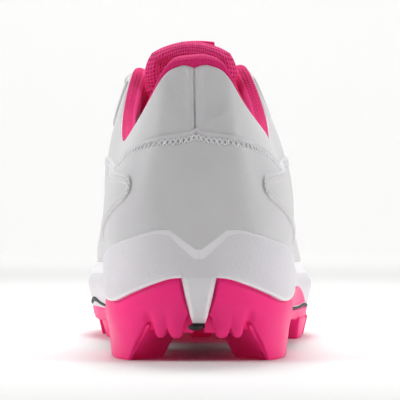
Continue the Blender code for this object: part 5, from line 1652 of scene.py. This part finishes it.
# Lace
# One flat woven lace, white, through six holes a side: a straight bar at the bottom, then crossings up to
# the top holes, where both ends go inside.
LACE_WIDTH = 6.6
LACE_THICK = 1.5
LACE_LIFT = 0.15
LACE_ARCH = 0.3
LACE_OVER = 0.9
LACE_SLANT = 0.08
LACE_STAND = LACE_LIFT + 0.5 * LACE_THICK
LACE_BELOW = -1.4
LACE_GATHER = 0.55
# Shares of a run at which its path is given: four from the outer hole to the throat's edge, the middle over
# the tongue, and four to the inner hole
LACE_KNOTS = (-0.10, -0.05, 0.06, 0.22, 0.5, 0.78, 0.94, 1.05, 1.10)


def lace_finish():
    """Flat braid: a checker turned by 45 degrees on the tape's own UV, in metres, with a soft sheen."""
    made, tree, shader = new_finish("white_lace", (0.86, 0.85, 0.87), 0.72, Sheen_Weight=0.3,
                                    Sheen_Roughness=0.4)
    uv = add_node(tree, "ShaderNodeUVMap", uv_map="UVMap").outputs["UV"]
    turned = add_node(tree, "ShaderNodeMapping", {"Vector": uv, "Rotation": (0.0, 0.0, 0.25 * np.pi)})
    weave = add_node(tree, "ShaderNodeTexChecker", {"Vector": turned.outputs["Vector"], "Scale": 1100.0})
    add_bump(tree, shader, weave.outputs["Fac"], 0.14, 0.5)
    add_bump(tree, shader, noise(tree, 3000.0, 2.0), 0.06, 0.5)
    return made


def lace_run(rows, faces):
    """One run of lace: a smooth path from hole to hole, and flat oval sections across it that narrow where
    the lace is gathered into a hole."""
    at = np.linspace(LACE_KNOTS[0], LACE_KNOTS[-1], 72)
    centre = np.column_stack([smooth_table(at, LACE_KNOTS, column) for column in np.array(rows).T])
    face = unit(np.column_stack([smooth_table(at, LACE_KNOTS, column) for column in np.array(faces).T]))
    side = unit(np.cross(np.gradient(centre, axis=0), face))
    gather = LACE_GATHER + (1 - LACE_GATHER) * ease(np.minimum(at + 0.05, 1.05 - at), 0.0, 0.12)
    turn = np.linspace(0, 2 * np.pi, 20, endpoint=False)
    wide, tall = squared_off(np.cos(turn), 0.6), squared_off(np.sin(turn), 0.8)
    return (centre[:, None] + side[:, None] * (0.5 * LACE_WIDTH * gather[:, None] * wide)[..., None]
            + face[:, None] * (0.5 * LACE_THICK * tall)[None, :, None])


def throat_row(place, inset, out):
    """A point over the eyestay, inset from the throat's edge, and the direction it faces."""
    place = np.array([place])
    share = 1 - inset / throat_length(place)
    return upper_at(place, share, EYESTAY_WALL + out)[0], last_normal(place, share)[0]


def lace_end(hole, edge, over):
    """Four rows from inside a hole, out of it and over the band to the throat's edge."""
    return [throat_row(hole, EYELET_INSET + 0.8, LACE_BELOW),
            throat_row(hole, EYELET_INSET - 1.2, 0.8 * LACE_STAND),
            throat_row(0.5 * (hole + edge), 0.5 * EYELET_INSET, LACE_STAND + 0.5 * over),
            throat_row(edge, 0.5, LACE_STAND + LACE_ARCH + over)]


def lace_runs():
    """Paths of all the runs: for each, both holes, both throat edges and the middle over the tongue."""
    outer, inner = eyelet_places()
    crown = tongue_face[::-1, TONGUE_COLUMNS // 2]
    crown_face = tongue_normal[::-1, TONGUE_COLUMNS // 2]
    spans = [(outer[0], outer[0], inner[0], inner[0], 0.5 * LACE_OVER)]
    for i in range(EYELET_ROWS - 1):
        out_step = LACE_SLANT * (outer[i + 1] - outer[i])
        in_step = LACE_SLANT * (inner[i + 1] - inner[i])
        spans.append((outer[i], outer[i] + out_step, inner[i + 1] - in_step, inner[i + 1], LACE_OVER))
        spans.append((outer[i + 1], outer[i + 1] - out_step, inner[i] + in_step, inner[i], 0.0))
    runs = []
    for out_hole, out_edge, in_edge, in_hole, over in spans:
        ends = lace_end(out_hole, out_edge, over) + lace_end(in_hole, in_edge, over)[::-1]
        middle = 0.5 * (ends[3][0] + ends[4][0])
        face = np.array([np.interp(middle[1], crown[:, 1], column) for column in crown_face.T])
        over_tongue = np.interp(middle[1], crown[:, 1], crown[:, 2]) + LACE_STAND / face[2]
        middle[2] = max(middle[2], over_tongue)
        ends.insert(4, (middle, face))
        runs.append(lace_run([point for point, _ in ends], [normal for _, normal in ends]))
    return runs


runs = lace_runs()
make_piece("lace_braid", [rounded_ends(run, np.arange(len(run)), 2) for run in runs], lace_finish(),
           "white_cord", "lace", [loop_uv(run) for run in runs])
